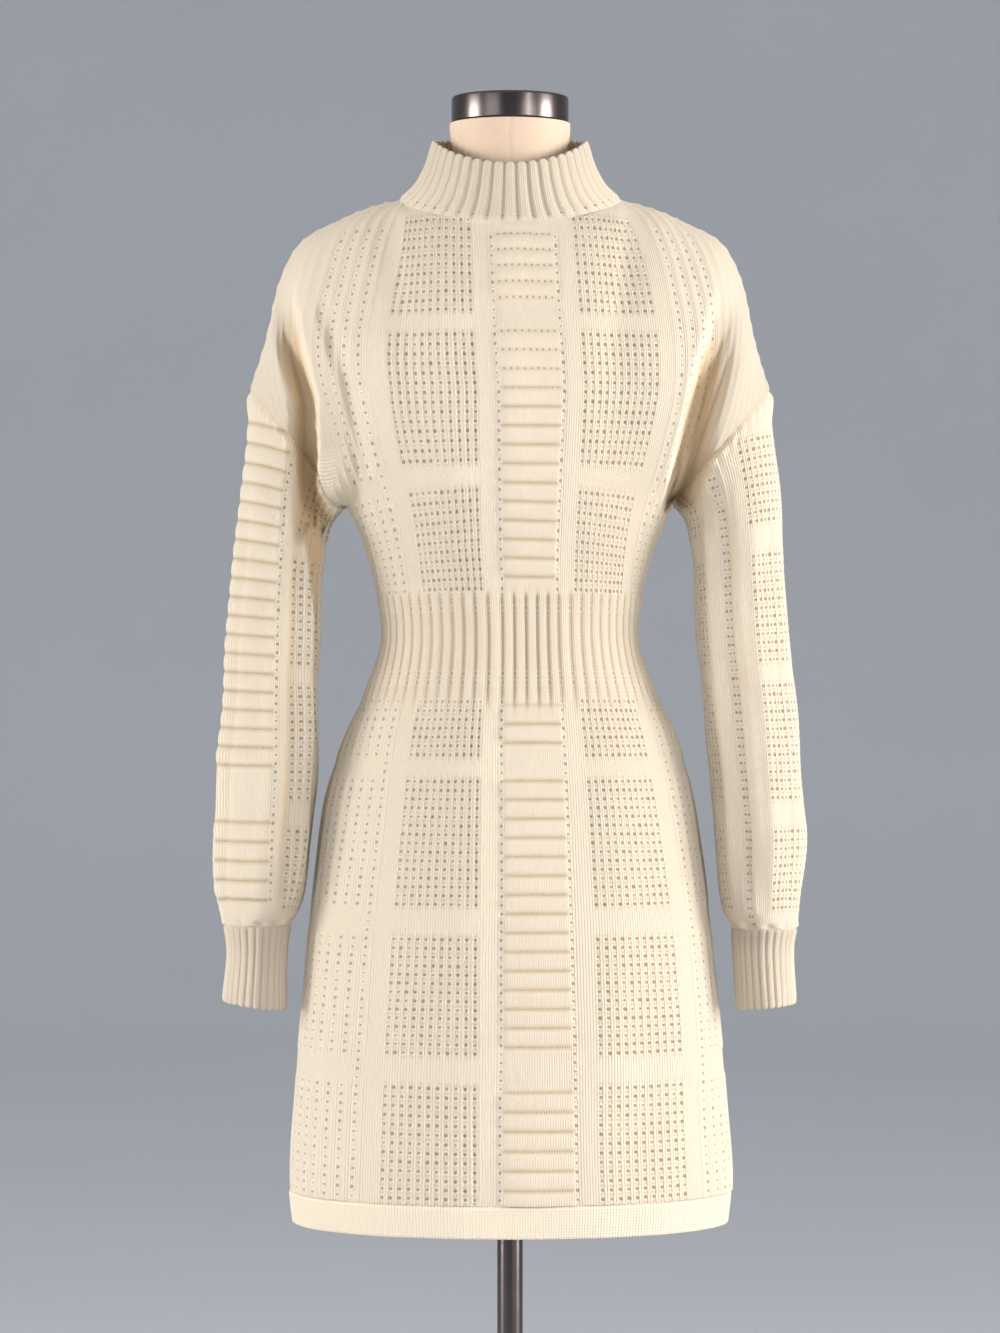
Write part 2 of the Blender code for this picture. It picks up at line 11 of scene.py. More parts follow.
import bpy
import numpy as np
from bpy.props import FloatProperty, FloatVectorProperty, PointerProperty
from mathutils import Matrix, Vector


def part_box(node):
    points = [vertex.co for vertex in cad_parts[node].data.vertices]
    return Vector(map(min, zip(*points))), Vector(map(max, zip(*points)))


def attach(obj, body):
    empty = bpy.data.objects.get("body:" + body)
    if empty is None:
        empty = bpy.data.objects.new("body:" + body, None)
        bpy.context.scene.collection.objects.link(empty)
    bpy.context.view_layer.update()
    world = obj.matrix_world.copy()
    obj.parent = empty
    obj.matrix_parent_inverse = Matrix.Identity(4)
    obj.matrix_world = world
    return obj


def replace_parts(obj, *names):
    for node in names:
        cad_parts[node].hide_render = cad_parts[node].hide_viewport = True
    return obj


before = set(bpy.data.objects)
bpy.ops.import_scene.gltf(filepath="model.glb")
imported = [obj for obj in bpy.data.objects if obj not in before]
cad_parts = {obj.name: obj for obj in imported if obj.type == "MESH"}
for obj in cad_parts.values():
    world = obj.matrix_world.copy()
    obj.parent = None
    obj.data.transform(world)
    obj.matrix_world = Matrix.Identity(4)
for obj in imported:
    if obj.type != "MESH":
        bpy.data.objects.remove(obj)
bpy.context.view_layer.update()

bl_info = {
    "name": "Sweater Dress on a Dress Form",
    "version": (1, 0, 0),
    "blender": (4, 5, 0),
    "location": "3D Viewport > Sidebar > Dress",
    "description": "Builds a knitted sweater dress, the dress form under it, its stand and a stage",
    "category": "Object",
}

HEM_LOW, HEM_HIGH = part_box("hem_front")[0][2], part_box("hem_front")[1][2]
RIB_LOW, RIB_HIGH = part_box("waist_rib_front")[0][2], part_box("waist_rib_front")[1][2]
COLLAR_TOP_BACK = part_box("collar")[1][2]
FORM_LOW, FORM_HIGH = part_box("form_body")[0][2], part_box("form_body")[1][2]
UNDERARM_HEIGHT = 1.243

# Body rings below the underarm: half width, and depth of the front and of the back
BODY_COLUMNS = ("height", "half_width", "front", "back")
BODY = (
    (0.612, 0.1905, 0.1260, 0.1330),
    (0.640, 0.1935, 0.1280, 0.1350),
    (0.740, 0.1885, 0.1240, 0.1330),
    (0.860, 0.1780, 0.1180, 0.1290),
    (0.930, 0.1700, 0.1120, 0.1230),
    (1.000, 0.1575, 0.1040, 0.1110),
    (1.045, 0.1430, 0.0975, 0.0985),
    (1.080, 0.1262, 0.0920, 0.0875),
    (1.128, 0.1118, 0.0870, 0.0780),
    (1.160, 0.1160, 0.0900, 0.0780),
    (1.205, 0.1275, 0.0990, 0.0820),
    (1.243, 0.1430, 0.1080, 0.0880),
)

# Middle of the front and of the back above the underarm: height, depth
FRONT_MIDDLE = (
    (1.243, 0.108), (1.300, 0.120), (1.350, 0.124), (1.400, 0.119), (1.445, 0.105), (1.4836, 0.084),
)
BACK_MIDDLE = (
    (1.243, 0.088), (1.300, 0.095), (1.350, 0.099), (1.410, 0.101), (1.465, 0.094), (1.5130, 0.080),
)

# Neckline, shoulder line and armhole
NECK_HALF_WIDTH = 0.097
NECK_SIDE_HEIGHT = 1.511
NECK_FRONT = (0.084, 1.4836)
NECK_BACK = (0.080, 1.5130)
SHOULDER = (
    (0.097, 1.511), (0.150, 1.4925), (0.187, 1.4700), (0.2010, 1.4430), (0.2130, 1.3900), (0.2280, 1.3430),
)
UNDERARM = (0.143, 1.243)
ARMHOLE_HALF_DEPTH = 0.054
NECK_SHARE = 0.36

# Sleeve and cuff rings from the top down
SLEEVE_COLUMNS = ("outer_x", "outer_z", "inner_x", "inner_z", "half_depth", "forward")
SLEEVE_LEFT = (
    (0.2280, 1.343, 0.1430, 1.243, 0.0540, 0.000),
    (0.2335, 1.290, 0.1560, 1.224, 0.0545, 0.002),
    (0.2378, 1.236, 0.1605, 1.192, 0.0540, 0.005),
    (0.2408, 1.182, 0.1630, 1.155, 0.0530, 0.008),
    (0.2448, 1.124, 0.1655, 1.108, 0.0520, 0.010),
    (0.2508, 1.068, 0.1705, 1.060, 0.0510, 0.012),
    (0.2552, 1.012, 0.1750, 1.010, 0.0510, 0.013),
    (0.2592, 0.956, 0.1795, 0.956, 0.0510, 0.014),
    (0.2565, 0.915, 0.1820, 0.915, 0.0480, 0.015),
    (0.2530, 0.886, 0.1880, 0.886, 0.0410, 0.015),
    (0.2505, 0.871, 0.1950, 0.871, 0.0365, 0.015),
)
SLEEVE_RIGHT = (
    (0.2280, 1.343, 0.1430, 1.243, 0.0540, 0.000),
    (0.2325, 1.286, 0.1580, 1.222, 0.0545, 0.002),
    (0.2370, 1.232, 0.1630, 1.188, 0.0540, 0.004),
    (0.2430, 1.174, 0.1665, 1.146, 0.0530, 0.006),
    (0.2480, 1.110, 0.1680, 1.094, 0.0530, 0.008),
    (0.2525, 1.052, 0.1680, 1.044, 0.0535, 0.010),
    (0.2575, 1.002, 0.1690, 0.998, 0.0540, 0.012),
    (0.2592, 0.950, 0.1745, 0.948, 0.0540, 0.013),
    (0.2590, 0.908, 0.1790, 0.908, 0.0500, 0.014),
    (0.2545, 0.886, 0.1865, 0.886, 0.0420, 0.014),
    (0.2500, 0.874, 0.1930, 0.874, 0.0370, 0.014),
)
CUFF_LEFT = (
    (0.2505, 0.871, 0.1950, 0.871, 0.0365, 0.015),
    (0.2475, 0.850, 0.1962, 0.850, 0.0350, 0.015),
    (0.2500, 0.806, 0.1990, 0.801, 0.0350, 0.014),
)
CUFF_RIGHT = (
    (0.2500, 0.874, 0.1930, 0.874, 0.0370, 0.014),
    (0.2472, 0.848, 0.1965, 0.848, 0.0350, 0.014),
    (0.2515, 0.808, 0.1972, 0.800, 0.0355, 0.013),
)

# Collar rings, from the neckline up
COLLAR_COLUMNS = ("share", "half_width", "front", "back")
COLLAR = (
    (0.00, 0.0970, 0.0840, 0.0800),
    (0.22, 0.0845, 0.0770, 0.0720),
    (0.50, 0.0760, 0.0715, 0.0670),
    (1.00, 0.0675, 0.0640, 0.0630),
)
COLLAR_TOP_SIDE = 1.5625
COLLAR_TOP_FRONT = 1.5365

# Large folds of the back beside the armholes, in the panel's own grid: side, where along the
# armhole the fold starts and ends, how far out it lies at each, its inner and its outer half
# width, and how far it moves the cloth
BACK_FOLDS = (
    (+1, 0.00, 0.85, 0.960, 0.800, 0.060, 0.090, (0.000, -0.022, 0.000)),
    (-1, 0.00, 0.88, 0.960, 0.790, 0.060, 0.085, (0.000, -0.024, 0.000)),
)

# Creases of the front, shared by the bodice and the sleeves: an edge as height and X from the
# top down, to which side of it the cloth lies deeper, over what width it drops, stays and comes
# back, how far it moves, how strong its warmer painted shade is, and over what height it fades in and out
CREASES = (
    # Beside the chest on the wearer's right, down to the armpit
    (
        ((1.452, -0.184), (1.420, -0.190), (1.372, -0.181), (1.331, -0.170), (1.290, -0.170),
         (1.237, -0.171), (1.215, -0.172)),
        -1, 0.005, 0.008, 0.016, (0.000, 0.034, 0.000), 1.0, 0.110, 0.024,
    ),
    # Beside the chest on the wearer's left
    (
        ((1.440, 0.187), (1.372, 0.1690), (1.341, 0.1600), (1.283, 0.1460), (1.239, 0.1370)),
        1, 0.006, 0.009, 0.020, (0.000, 0.036, 0.000), 1.0, 0.110, 0.016,
    ),
    # The pouch over the right armpit
    (
        ((1.290, -0.160), (1.255, -0.154), (1.215, -0.150)),
        1, 0.020, 0.004, 0.020, (-0.003, -0.009, -0.012), 0.0, 0.030, 0.022,
    ),
    # A second, softer fold on the left drop shoulder
    (
        ((1.400, 0.198), (1.350, 0.185), (1.300, 0.168), (1.262, 0.155)),
        1, 0.004, 0.003, 0.012, (0.000, 0.007, 0.000), 0.35, 0.050, 0.020,
    ),
    # Drag lines from the right armpit to the shoulder
    (
        ((1.440, -0.180), (1.360, -0.155), (1.284, -0.135)),
        1, 0.0022, 0.0004, 0.0022, (0.000, -0.0016, 0.000), 0.0, 0.020, 0.030,
    ),
    (
        ((1.430, -0.170), (1.340, -0.140), (1.262, -0.128)),
        1, 0.010, 0.002, 0.014, (0.000, 0.0040, 0.000), 0.10, 0.050, 0.030,
    ),
    # Short creases running into the left armpit
    (
        ((1.290, 0.152), (1.250, 0.144)),
        1, 0.003, 0.001, 0.004, (0.000, -0.004, 0.000), 0.0, 0.012, 0.010,
    ),
    (
        ((1.300, 0.176), (1.240, 0.158)),
        1, 0.004, 0.002, 0.006, (0.000, 0.006, 0.000), 0.4, 0.020, 0.012,
    ),
)

# A crease that pushes the cloth back further than this is a deep one
DEEP_CREASE = 0.01

# The fold down the inner side of the right sleeve, which starts under the pouch
SLEEVE_CREASES = (
    (
        ((1.330, -0.1830), (1.265, -0.1800), (1.208, -0.1765), (1.163, -0.1710), (1.127, -0.1660),
         (1.095, -0.1640)),
        1, 0.003, 0.040, 0.010, (0.000, 0.028, 0.000), 1.0, 0.020, 0.070,
    ),
)

# Chart: height and number of an eyelet row
ROWS = (
    (0.6378, 0.0),
    (0.7396, 13.0),
    (0.7695, 17.0),
    (0.8661, 30.0),
    (0.8961, 34.0),
    (1.0012, 48.0),
    (1.0243, 51.0),
    (1.0739, 57.5),
    (1.1586, 68.0),
    (1.2509, 79.0),
    (1.2766, 82.0),
    (1.3834, 95.0),
    (1.4048, 98.0),
    (1.4860, 108.0),
    (1.5200, 112.0),
)
# First and last eyelet row of each block on the body
BLOCK_ROWS = ((0, 13), (17, 30), (34, 48), (51, 57), (69, 79), (82, 95), (98, 108))
# First and last eyelet column of a block, and the column at each edge of the ladder
BLOCK_COLUMNS = (8, 18)
LADDER_COLUMN = 5
# Columns of the single eyelet lines at the sides, those that go on up the chest, and its rows
LINE_COLUMNS = (22, 24, 26, 28, 30, 32, 34, 36, 38, 40)
CHEST_LINES = (22, 24, 26, 28)
CHEST_ROWS = (81, 107)
# Rows in which the waist's ribs have eyelets between them
WAIST_ROWS = (58, 59, 60, 67)
# Grooves of the ladder: height of the highest in a group, how many, and their spacing
GROOVES = (
    (1.4715, 5, 0.01410),
    (1.3860, 14, 0.01605),
    (1.0670, 3, 0.01620),
    (1.0021, 15, 0.01619),
    (0.7370, 7, 0.01667),
)
# How closely the columns lie on the body: columns per pitch on the wearer's right and left of the
# ladder, and how many pitches from its middle the columns five and eight lie
SPREAD_COLUMNS = ("height", "right", "left", "five", "eight")
SPREAD = (
    (0.612, 0.920, 0.930, 4.40, 7.25),
    (0.660, 0.933, 0.945, 4.40, 7.25),
    (0.890, 1.042, 1.028, 4.32, 7.60),
    (1.030, 1.189, 1.220, 4.66, 8.00),
    (1.128, 1.360, 1.440, 4.70, 8.10),
    (1.204, 1.263, 1.390, 4.64, 8.10),
    (1.357, 1.022, 1.140, 4.26, 7.23),
    (1.450, 1.097, 1.154, 4.39, 7.46),
    (1.520, 1.120, 1.170, 4.40, 7.50),
)
# Middle of the ladder on the front: height, X
LADDER_MIDDLE = (
    (0.612, 0.0250),
    (0.895, 0.0222),
    (1.028, 0.0201),
    (1.120, 0.0185),
    (1.204, 0.0176),
    (1.335, 0.0198),
    (1.388, 0.0161),
    (1.436, 0.0133),
    (1.520, 0.0095),
)
BACK_LADDER_X = -0.018
# Usual height of a rung
RUNG = 0.0162

# The sleeves' chart: where the ladder's middle lies round the arm at the top and how far it
# turns by the cuff, rungs as height of the highest, count and spacing
SLEEVE_CHART = {
    "sleeve_right": (math.pi - 0.85, -0.39, ((1.300, 19, 0.0159), (0.9650, 5, 0.0168))),
    "sleeve_left": (math.pi + 1.20, 0.0, ((1.300, 19, 0.0159), (0.9650, 5, 0.0168))),
}
# Top and bottom of each eyelet block on a sleeve
SLEEVE_BLOCKS = ((1.290, 1.222), (1.195, 1.104), (1.084, 0.987), (0.960, 0.890))
# Height at which a sleeve's rows start, and how far they lie apart
SLEEVE_TOP = 1.290
SLEEVE_ROW = 0.0074
# Radius on which a sleeve's eyelet columns are counted, and the sleeve's usual length
SLEEVE_RADIUS = 0.048
SLEEVE_LENGTH = 0.47

# Folds of the sleeves: where round the arm at the top and at the cuff, from and to which share
# of the length, half width in radians, and height
SLEEVE_FOLDS = {
    "sleeve_right": (
        (2.75, 2.55, 0.10, 0.99, 0.10, 0.0035),
        (2.45, 2.33, 0.10, 0.99, 0.12, -0.0030),
        (1.15, 0.95, 0.05, 0.95, 0.16, -0.0050),
        (0.75, 0.55, 0.02, 0.90, 0.15, 0.0050),
        (0.20, 0.15, 0.02, 0.80, 0.16, -0.0060),
        (5.20, 5.10, 0.05, 0.95, 0.25, -0.0050),
        (4.20, 4.30, 0.10, 0.95, 0.25, 0.0040),
    ),
    "sleeve_left": (
        (1.30, 1.20, 0.05, 0.95, 0.14, -0.0045),
        (0.85, 0.80, 0.02, 0.95, 0.14, 0.0045),
        (1.85, 1.75, 0.12, 0.98, 0.13, 0.0030),
        (2.35, 2.30, 0.12, 0.98, 0.14, -0.0030),
        (5.30, 5.20, 0.05, 0.95, 0.25, -0.0050),
        (4.40, 4.30, 0.10, 0.95, 0.25, 0.0040),
    ),
}

# Thickness of the knit where it turns over an edge, and the ribs' middle height over the base
# surface, as a share of the rib height
WALL = 0.003
RIB_MIDDLE = 0.15
# The strongest painted shade, warmer in colour, that the knit's finish is given in folds and seams
MOST_WARM_SHADE = 1.6
# Wales in an eyelet column, and courses in an eyelet row
WALES = 3.0
COURSES = 5.0

# The form under the cloth
FORM_COLUMNS = ("height", "half_width", "front", "back")
FORM = (
    (0.7600, 0.1480, 0.0960, 0.1060),
    (0.7720, 0.1580, 0.1030, 0.1140),
    (0.8300, 0.1660, 0.1080, 0.1190),
    (0.9200, 0.1630, 0.1060, 0.1160),
    (1.0000, 0.1480, 0.0965, 0.1020),
    (1.0450, 0.1330, 0.0900, 0.0900),
    (1.0800, 0.1180, 0.0850, 0.0800),
    (1.1280, 0.1060, 0.0810, 0.0720),
    (1.1600, 0.1095, 0.0835, 0.0720),
    (1.2050, 0.1200, 0.0925, 0.0760),
    (1.2430, 0.1300, 0.1010, 0.0820),
    (1.3000, 0.1400, 0.1120, 0.0880),
    (1.3500, 0.1470, 0.1140, 0.0870),
    (1.4000, 0.1560, 0.1040, 0.0860),
    (1.4400, 0.1620, 0.0850, 0.0770),
    (1.4620, 0.1560, 0.0710, 0.0680),
    (1.4790, 0.1200, 0.0640, 0.0620),
    (1.4950, 0.0740, 0.0590, 0.0590),
    (1.5150, 0.0560, 0.0545, 0.0545),
    (1.5772, 0.0530, 0.0530, 0.0530),
)

# Studio lights: name, place, width and height, power in watts, target and colour
LIGHTS = (
    ("key", (-2.2, -3.1, 1.7), (1.8, 1.6), 21, (0, 0, 1.15), (1.0, 0.98, 0.95)),
    ("fill", (2.4, -3.1, 1.4), (1.8, 1.6), 26, (0, 0, 1.15), (1.0, 0.98, 0.96)),
    ("strip", (1.45, -1.95, 1.75), (0.22, 1.3), 9, (0, 0, 1.45), (1.0, 0.97, 0.94)),
    ("side_left", (-3.4, -0.9, 1.3), (1.2, 1.6), 120, (0, 0, 0.9), (1.0, 0.97, 0.93)),
    ("side_right", (3.4, -0.9, 1.3), (1.2, 1.6), 155, (0, 0, 0.9), (1.0, 0.97, 0.93)),
)
SKY_COLOUR = (0.97, 0.98, 1.0, 1.0)
SKY_STRENGTH = 0.71


class DRESS_PG_knit(bpy.types.PropertyGroup):
    """Sizes of the knit."""

    pitch: FloatProperty(
        name="Eyelet pitch", description="Distance between eyelet columns", default=0.0071, unit="LENGTH"
    )
    row_pitch: FloatProperty(
        name="Row pitch", description="Usual distance between eyelet rows", default=0.0075, unit="LENGTH"
    )
    hole_radius: FloatProperty(
        name="Eyelet radius", description="Radius of an eyelet's dimple", default=0.0014, unit="LENGTH"
    )
    hole_depth: FloatProperty(
        name="Eyelet depth", description="How deep an eyelet's dimple is", default=0.0009, unit="LENGTH"
    )
    strand: FloatProperty(
        name="Strand height", description="Height of the strands between eyelets", default=0.0011,
        unit="LENGTH",
    )
    block_depth: FloatProperty(
        name="Block depth", description="How far an eyelet block lies behind the plain knit", default=0.0009,
        unit="LENGTH",
    )
    puff: FloatProperty(
        name="Ladder puff", description="Height of the ladder's rungs", default=0.0018, unit="LENGTH"
    )
    rib: FloatProperty(
        name="Rib height", description="Height of the ribs of waist, cuffs and collar", default=0.0017,
        unit="LENGTH",
    )
    stitch: FloatProperty(
        name="Stitch relief", description="Relief of the single stitches", default=0.0010, unit="LENGTH"
    )


class DRESS_PG_colours(bpy.types.PropertyGroup):
    """Colours of the pieces."""

    yarn: FloatVectorProperty(
        name="Yarn", description="Colour of the cotton yarn", subtype="COLOR", size=3, min=0, max=1,
        default=(0.86, 0.752, 0.605),
    )
    # Painted shade: the yarn's colour in grooves, rib valleys and between a block's eyelet columns
    valley: FloatVectorProperty(
        name="Valley", description="Colour of the yarn in grooves", subtype="COLOR", size=3, min=0, max=1,
        default=(0.60, 0.45, 0.26),
    )
    # Painted shade deep in the large folds and along the seams, warmer as light comes off the yarn itself
    fold_shade: FloatVectorProperty(
        name="Fold", description="Colour deep in the large folds, where light comes off the yarn itself",
        subtype="COLOR", size=3, min=0, max=1, default=(0.80, 0.56, 0.29),
    )
    # Painted highlight on the raised loops round an eyelet
    loop_highlight: FloatVectorProperty(
        name="Loop", description="Colour of the loops round an eyelet", subtype="COLOR", size=3, min=0, max=1,
        default=(0.96, 0.89, 0.76),
    )
    # The eyelet's opening, drawn as painted shade: dark brown for the form seen in shadow through it; the
    # ladder's dots take it too
    hole: FloatVectorProperty(
        name="Eyelet", description="Colour in an eyelet", subtype="COLOR", size=3, min=0, max=1,
        default=(0.40, 0.255, 0.125),
    )
    linen: FloatVectorProperty(
        name="Linen", description="Colour of the form's cover", subtype="COLOR", size=3, min=0, max=1,
        default=(0.70, 0.53, 0.39),
    )
    gunmetal: FloatVectorProperty(
        name="Gunmetal", description="Colour of the cap and the pole", subtype="COLOR", size=3, min=0, max=1,
        default=(0.105, 0.089, 0.087),
    )
    base_steel: FloatVectorProperty(
        name="Base steel", description="Colour of the base plate", subtype="COLOR", size=3, min=0, max=1,
        default=(0.10, 0.095, 0.095),
    )


class DRESS_PG_stage(bpy.types.PropertyGroup):
    """Camera, floor and lights."""

    camera_distance: FloatProperty(
        name="Camera distance", description="From the middle of the dress", default=3.8, unit="LENGTH"
    )
    camera_height: FloatProperty(
        name="Camera height", description="Above the floor", default=1.10, unit="LENGTH"
    )
    camera_side: FloatProperty(
        name="Camera side", description="Camera's place to the right", default=-0.0088, unit="LENGTH"
    )
    lens: FloatProperty(name="Lens", description="Focal length in millimetres", default=116.6)
    floor: FloatVectorProperty(
        name="Floor", description="Colour of floor and backdrop", subtype="COLOR", size=3, min=0, max=1,
        default=(0.60, 0.62, 0.66),
    )


def column(columns, table, name):
    """One named column of a table, as an array."""
    return np.array([row[columns.index(name)] for row in table], float)


def through(knots, values, at):
    """A smooth curve through values at knots: cubic, with each slope from the neighbours."""
    knots, at = np.asarray(knots, float), np.asarray(at, float)
    values = np.asarray(values, float)
    slopes = np.gradient(values, knots, axis=0)
    left = np.clip(np.searchsorted(knots, at, side="right") - 1, 0, len(knots) - 2)
    step = knots[left + 1] - knots[left]
    f = (at - knots[left]) / step
    if values.ndim > 1:
        step, f = step[..., None], f[..., None]
    start, end = values[left], values[left + 1]
    out, into = slopes[left] * step, slopes[left + 1] * step
    return (
        (2 * f**3 - 3 * f**2 + 1) * start
        + (f**3 - 2 * f**2 + f) * out
        + (3 * f**2 - 2 * f**3) * end
        + (f**3 - f**2) * into
    )


def along(points, share):
    """Points of the smooth curve through some points, at shares of its length."""
    points = np.asarray(points, float)
    steps = np.linalg.norm(np.diff(points, axis=0), axis=1)
    knots = np.concatenate([[0.0], np.cumsum(steps)])
    return through(knots, points, np.asarray(share) * knots[-1])


def smoothstep(low, high, value):
    """0 below low, 1 above high, and a smooth S between."""
    f = np.clip((value - low) / (high - low), 0, 1)
    return f * f * (3 - 2 * f)


def bell(value, width):
    """A bell curve: 1 at zero, falling off over the width."""
    return np.exp(-((value / width) ** 2))


def band(value, first, last, start, full):
    """1 from first to last: it rises between start and full outside them, and falls likewise."""
    rise = smoothstep(first - start, first - full, value)
    return rise * smoothstep(-last - start, -last - full, -value)


def swell(value):
    """A wave of the whole numbers: 0 on each, and 1 halfway between."""
    return 0.5 - 0.5 * np.cos(2 * math.pi * value)


def softened(values, reach, axis, wrap=False):
    """Values averaged with a bell curve over their neighbours along one axis; open ends stay."""
    half = int(math.ceil(2.5 * reach))
    weights = bell(np.arange(-half, half + 1), reach * math.sqrt(2))
    weights = weights / weights.sum()
    moved = np.moveaxis(values, axis, 0)
    if wrap:
        wide = np.concatenate([moved[-half:], moved, moved[:half]])
    else:
        # Mirrored through the end point, so that the end itself does not move
        start = 2 * moved[:1] - moved[half:0:-1]
        end = 2 * moved[-1:] - moved[-2 : -half - 2 : -1]
        wide = np.concatenate([start, moved, end])
    count = len(moved)
    made = sum(weight * wide[place : place + count] for place, weight in enumerate(weights))
    return np.moveaxis(made, 0, axis)


def body_rings(across, heights, face):
    """Half ellipses of the body's front (face -1) or back (+1), one for each height."""
    depth_name = "front" if face < 0 else "back"
    knots = column(BODY_COLUMNS, BODY, "height")
    half_width = through(knots, column(BODY_COLUMNS, BODY, "half_width"), heights)[:, None]
    depth = through(knots, column(BODY_COLUMNS, BODY, depth_name), heights)[:, None]
    angle = across[None, :] * math.pi / 2
    x = half_width * np.sin(angle)
    y = face * depth * np.cos(angle)
    return np.stack([x, y, heights[:, None] + 0 * x], axis=-1)


def neckline(angle, face):
    """The neckline: an ellipse seen from above, higher at the shoulders; 0 is the middle."""
    depth, height = NECK_FRONT if face < 0 else NECK_BACK
    middle = np.clip(np.cos(angle), 0, 1)
    x = NECK_HALF_WIDTH * np.sin(angle)
    z = NECK_SIDE_HEIGHT + (height - NECK_SIDE_HEIGHT) * middle**1.2
    return np.stack([x, face * depth * middle, z], axis=-1)


def armhole(share, face, side):
    """Half an ellipse in a slanted plane, from the underarm (0) to the shoulder (1)."""
    low, top = np.array(UNDERARM), np.array(SHOULDER[-1])
    angle = np.asarray(share) * math.pi
    middle, reach = (low + top) / 2, (low - top) / 2
    flat = middle + reach * np.cos(angle)[..., None]
    y = face * ARMHOLE_HALF_DEPTH * np.sin(angle)
    return np.stack([side * flat[..., 0], y, flat[..., 1]], axis=-1)


def top_edge(across, face):
    """The neckline in the middle, and the shoulder line on each side of it."""
    share = np.clip((np.abs(across) - NECK_SHARE) / (1 - NECK_SHARE), 0, 1)
    ridge = along(SHOULDER, share)
    shoulder = np.stack([np.sign(across) * ridge[:, 0], 0 * across, ridge[:, 1]], axis=-1)
    neck = neckline(np.clip(across / NECK_SHARE, -1, 1) * math.pi / 2, face)
    return np.where((np.abs(across) <= NECK_SHARE)[:, None], neck, shoulder)


def patch(bottom, top, middle, edge, up, out):
    """A patch between four edges: what each pair of edges gives, less what their corners give.

    up runs from the bottom edge to the top one, and out from the middle to the outer edge.
    """
    up, out = up[:, None], out[None, :]
    out = smoothstep(0, 1, out)
    between = (1 - up) * bottom[None, :] + up * top[None, :]
    first = middle[:, None] - ((1 - up) * bottom[0] + up * top[0])
    last = edge[:, None] - ((1 - up) * bottom[-1] + up * top[-1])
    return between + (1 - out) * first + out * last


def folded(grid, across, up, folds):
    """Moves the bodice along its large folds, each a bell across and faded at its two ends."""
    across, up = across[None, :], up[:, None]
    for side, low, high, at_low, at_high, inner, outer, push in folds:
        length = (up - low) / (high - low)
        middle = at_low + (at_high - at_low) * np.clip(length, 0, 1)
        away = across * side - middle
        width = np.where(away < 0, inner, outer)
        size = np.exp(-((away / width) ** 2))
        size = size * smoothstep(0, 0.12, length) * (1 - smoothstep(0.45, 1.0, length))
        size = size * (1 - np.abs(across) ** 16)
        grid = grid + size[..., None] * np.array(push)
    return grid


def creased(grid, on_sleeve=0.0):
    """Moves cloth of the front along its creases and gives the painted shade in them, warmer in colour.

    Across its edge a crease drops with an S, stays deep, and comes back with another S. It fades
    at its two ends, and towards the sides of the body and the arms. Where deep creases meet, the
    deepest holds. on_sleeve says how strongly the sleeves' own creases show.
    """
    warmth, deep = np.zeros(grid.shape[:-1]), np.zeros(grid.shape[:-1])
    facing = smoothstep(0.004, 0.034, -grid[..., 1])
    moved, level = grid.copy(), grid[..., 2]
    strengths = [1.0] * len(CREASES) + [on_sleeve] * len(SLEEVE_CREASES)
    for strength, crease in zip(strengths, CREASES + SLEEVE_CREASES):
        edge, side, drop, stay, back, push, warm, fade_top, fade_low = crease
        height, x = np.array(edge[::-1]).T
        away = side * (grid[..., 0] - np.interp(level, height, x))
        size = smoothstep(-drop, 0, away) * (1 - smoothstep(stay, stay + back, away))
        size = size * smoothstep(height[0] - fade_low / 2, height[0] + fade_low / 2, level)
        size = size * (1 - smoothstep(height[-1] - fade_top, height[-1], level)) * facing
        size = size * strength
        if push[1] > DEEP_CREASE:
            deep = np.maximum(deep, size * push[1])
        else:
            moved = moved + size[..., None] * np.array(push)
        # Painted shade, warmer in colour, where the crease lies deep
        warmth = np.maximum(warmth, warm * smoothstep(0.15, 0.95, size))
    moved[..., 1] += deep
    return moved, warmth


def bodice_base(across, rows_low, rows_up, face):
    """The bodice from the waist rib to the shoulders, with its kinks softened, before folds."""
    profile = np.array(FRONT_MIDDLE if face < 0 else BACK_MIDDLE)
    up = np.linspace(0, 1, rows_up)
    middle = along(profile, up)
    depth_up = 1 - np.sqrt(np.clip(1 - up**2, 0, 1))
    halves = []
    for side in (-1, 1):
        out = np.sort(np.abs(across[across * side >= 0]))
        bottom = body_rings(side * out, np.array([UNDERARM_HEIGHT]), face)[0]
        top = top_edge(side * out, face)
        edge = armhole(up, face, side)
        x = patch(bottom[:, 0], top[:, 0], 0 * up, edge[:, 0], up, out)
        y = patch(bottom[:, 1], top[:, 1], face * middle[:, 1], edge[:, 1], depth_up, out)
        z = patch(bottom[:, 2], top[:, 2], middle[:, 0], edge[:, 2], up, out)
        half = np.stack([x, y, z], axis=-1)
        halves.append(half[:, ::-1] if side < 0 else half[:, 1:])
    upper = np.concatenate(halves, axis=1)
    heights = np.linspace(RIB_HIGH, UNDERARM_HEIGHT, rows_low + 1)[:-1]
    grid = np.concatenate([body_rings(across, heights, face), upper])
    soft = softened(softened(grid, 5, 1), 5, 0)
    grid[1:-1, 1:-1] = soft[1:-1, 1:-1]
    return grid, np.concatenate([0 * heights, up])


def sleeve_rings(table, around, share):
    """Rings of a sleeve: ellipses between outer and inner edge. around is 0 at the inner edge,
    a right angle at the front and pi at the outer edge; share is 0 at the top, 1 at the cuff."""
    knots = np.linspace(0, 1, len(table))
    outer_x, outer_z, inner_x, inner_z, half_depth, forward = (
        through(knots, column(SLEEVE_COLUMNS, table, name), share)[:, None] for name in SLEEVE_COLUMNS
    )
    inwards = np.cos(around)
    x = (outer_x + inner_x) / 2 + (inner_x - outer_x) / 2 * inwards
    z = (outer_z + inner_z) / 2 + (inner_z - outer_z) / 2 * inwards
    y = -forward - half_depth * np.sin(around)
    return np.stack([x, y, z], axis=-1)


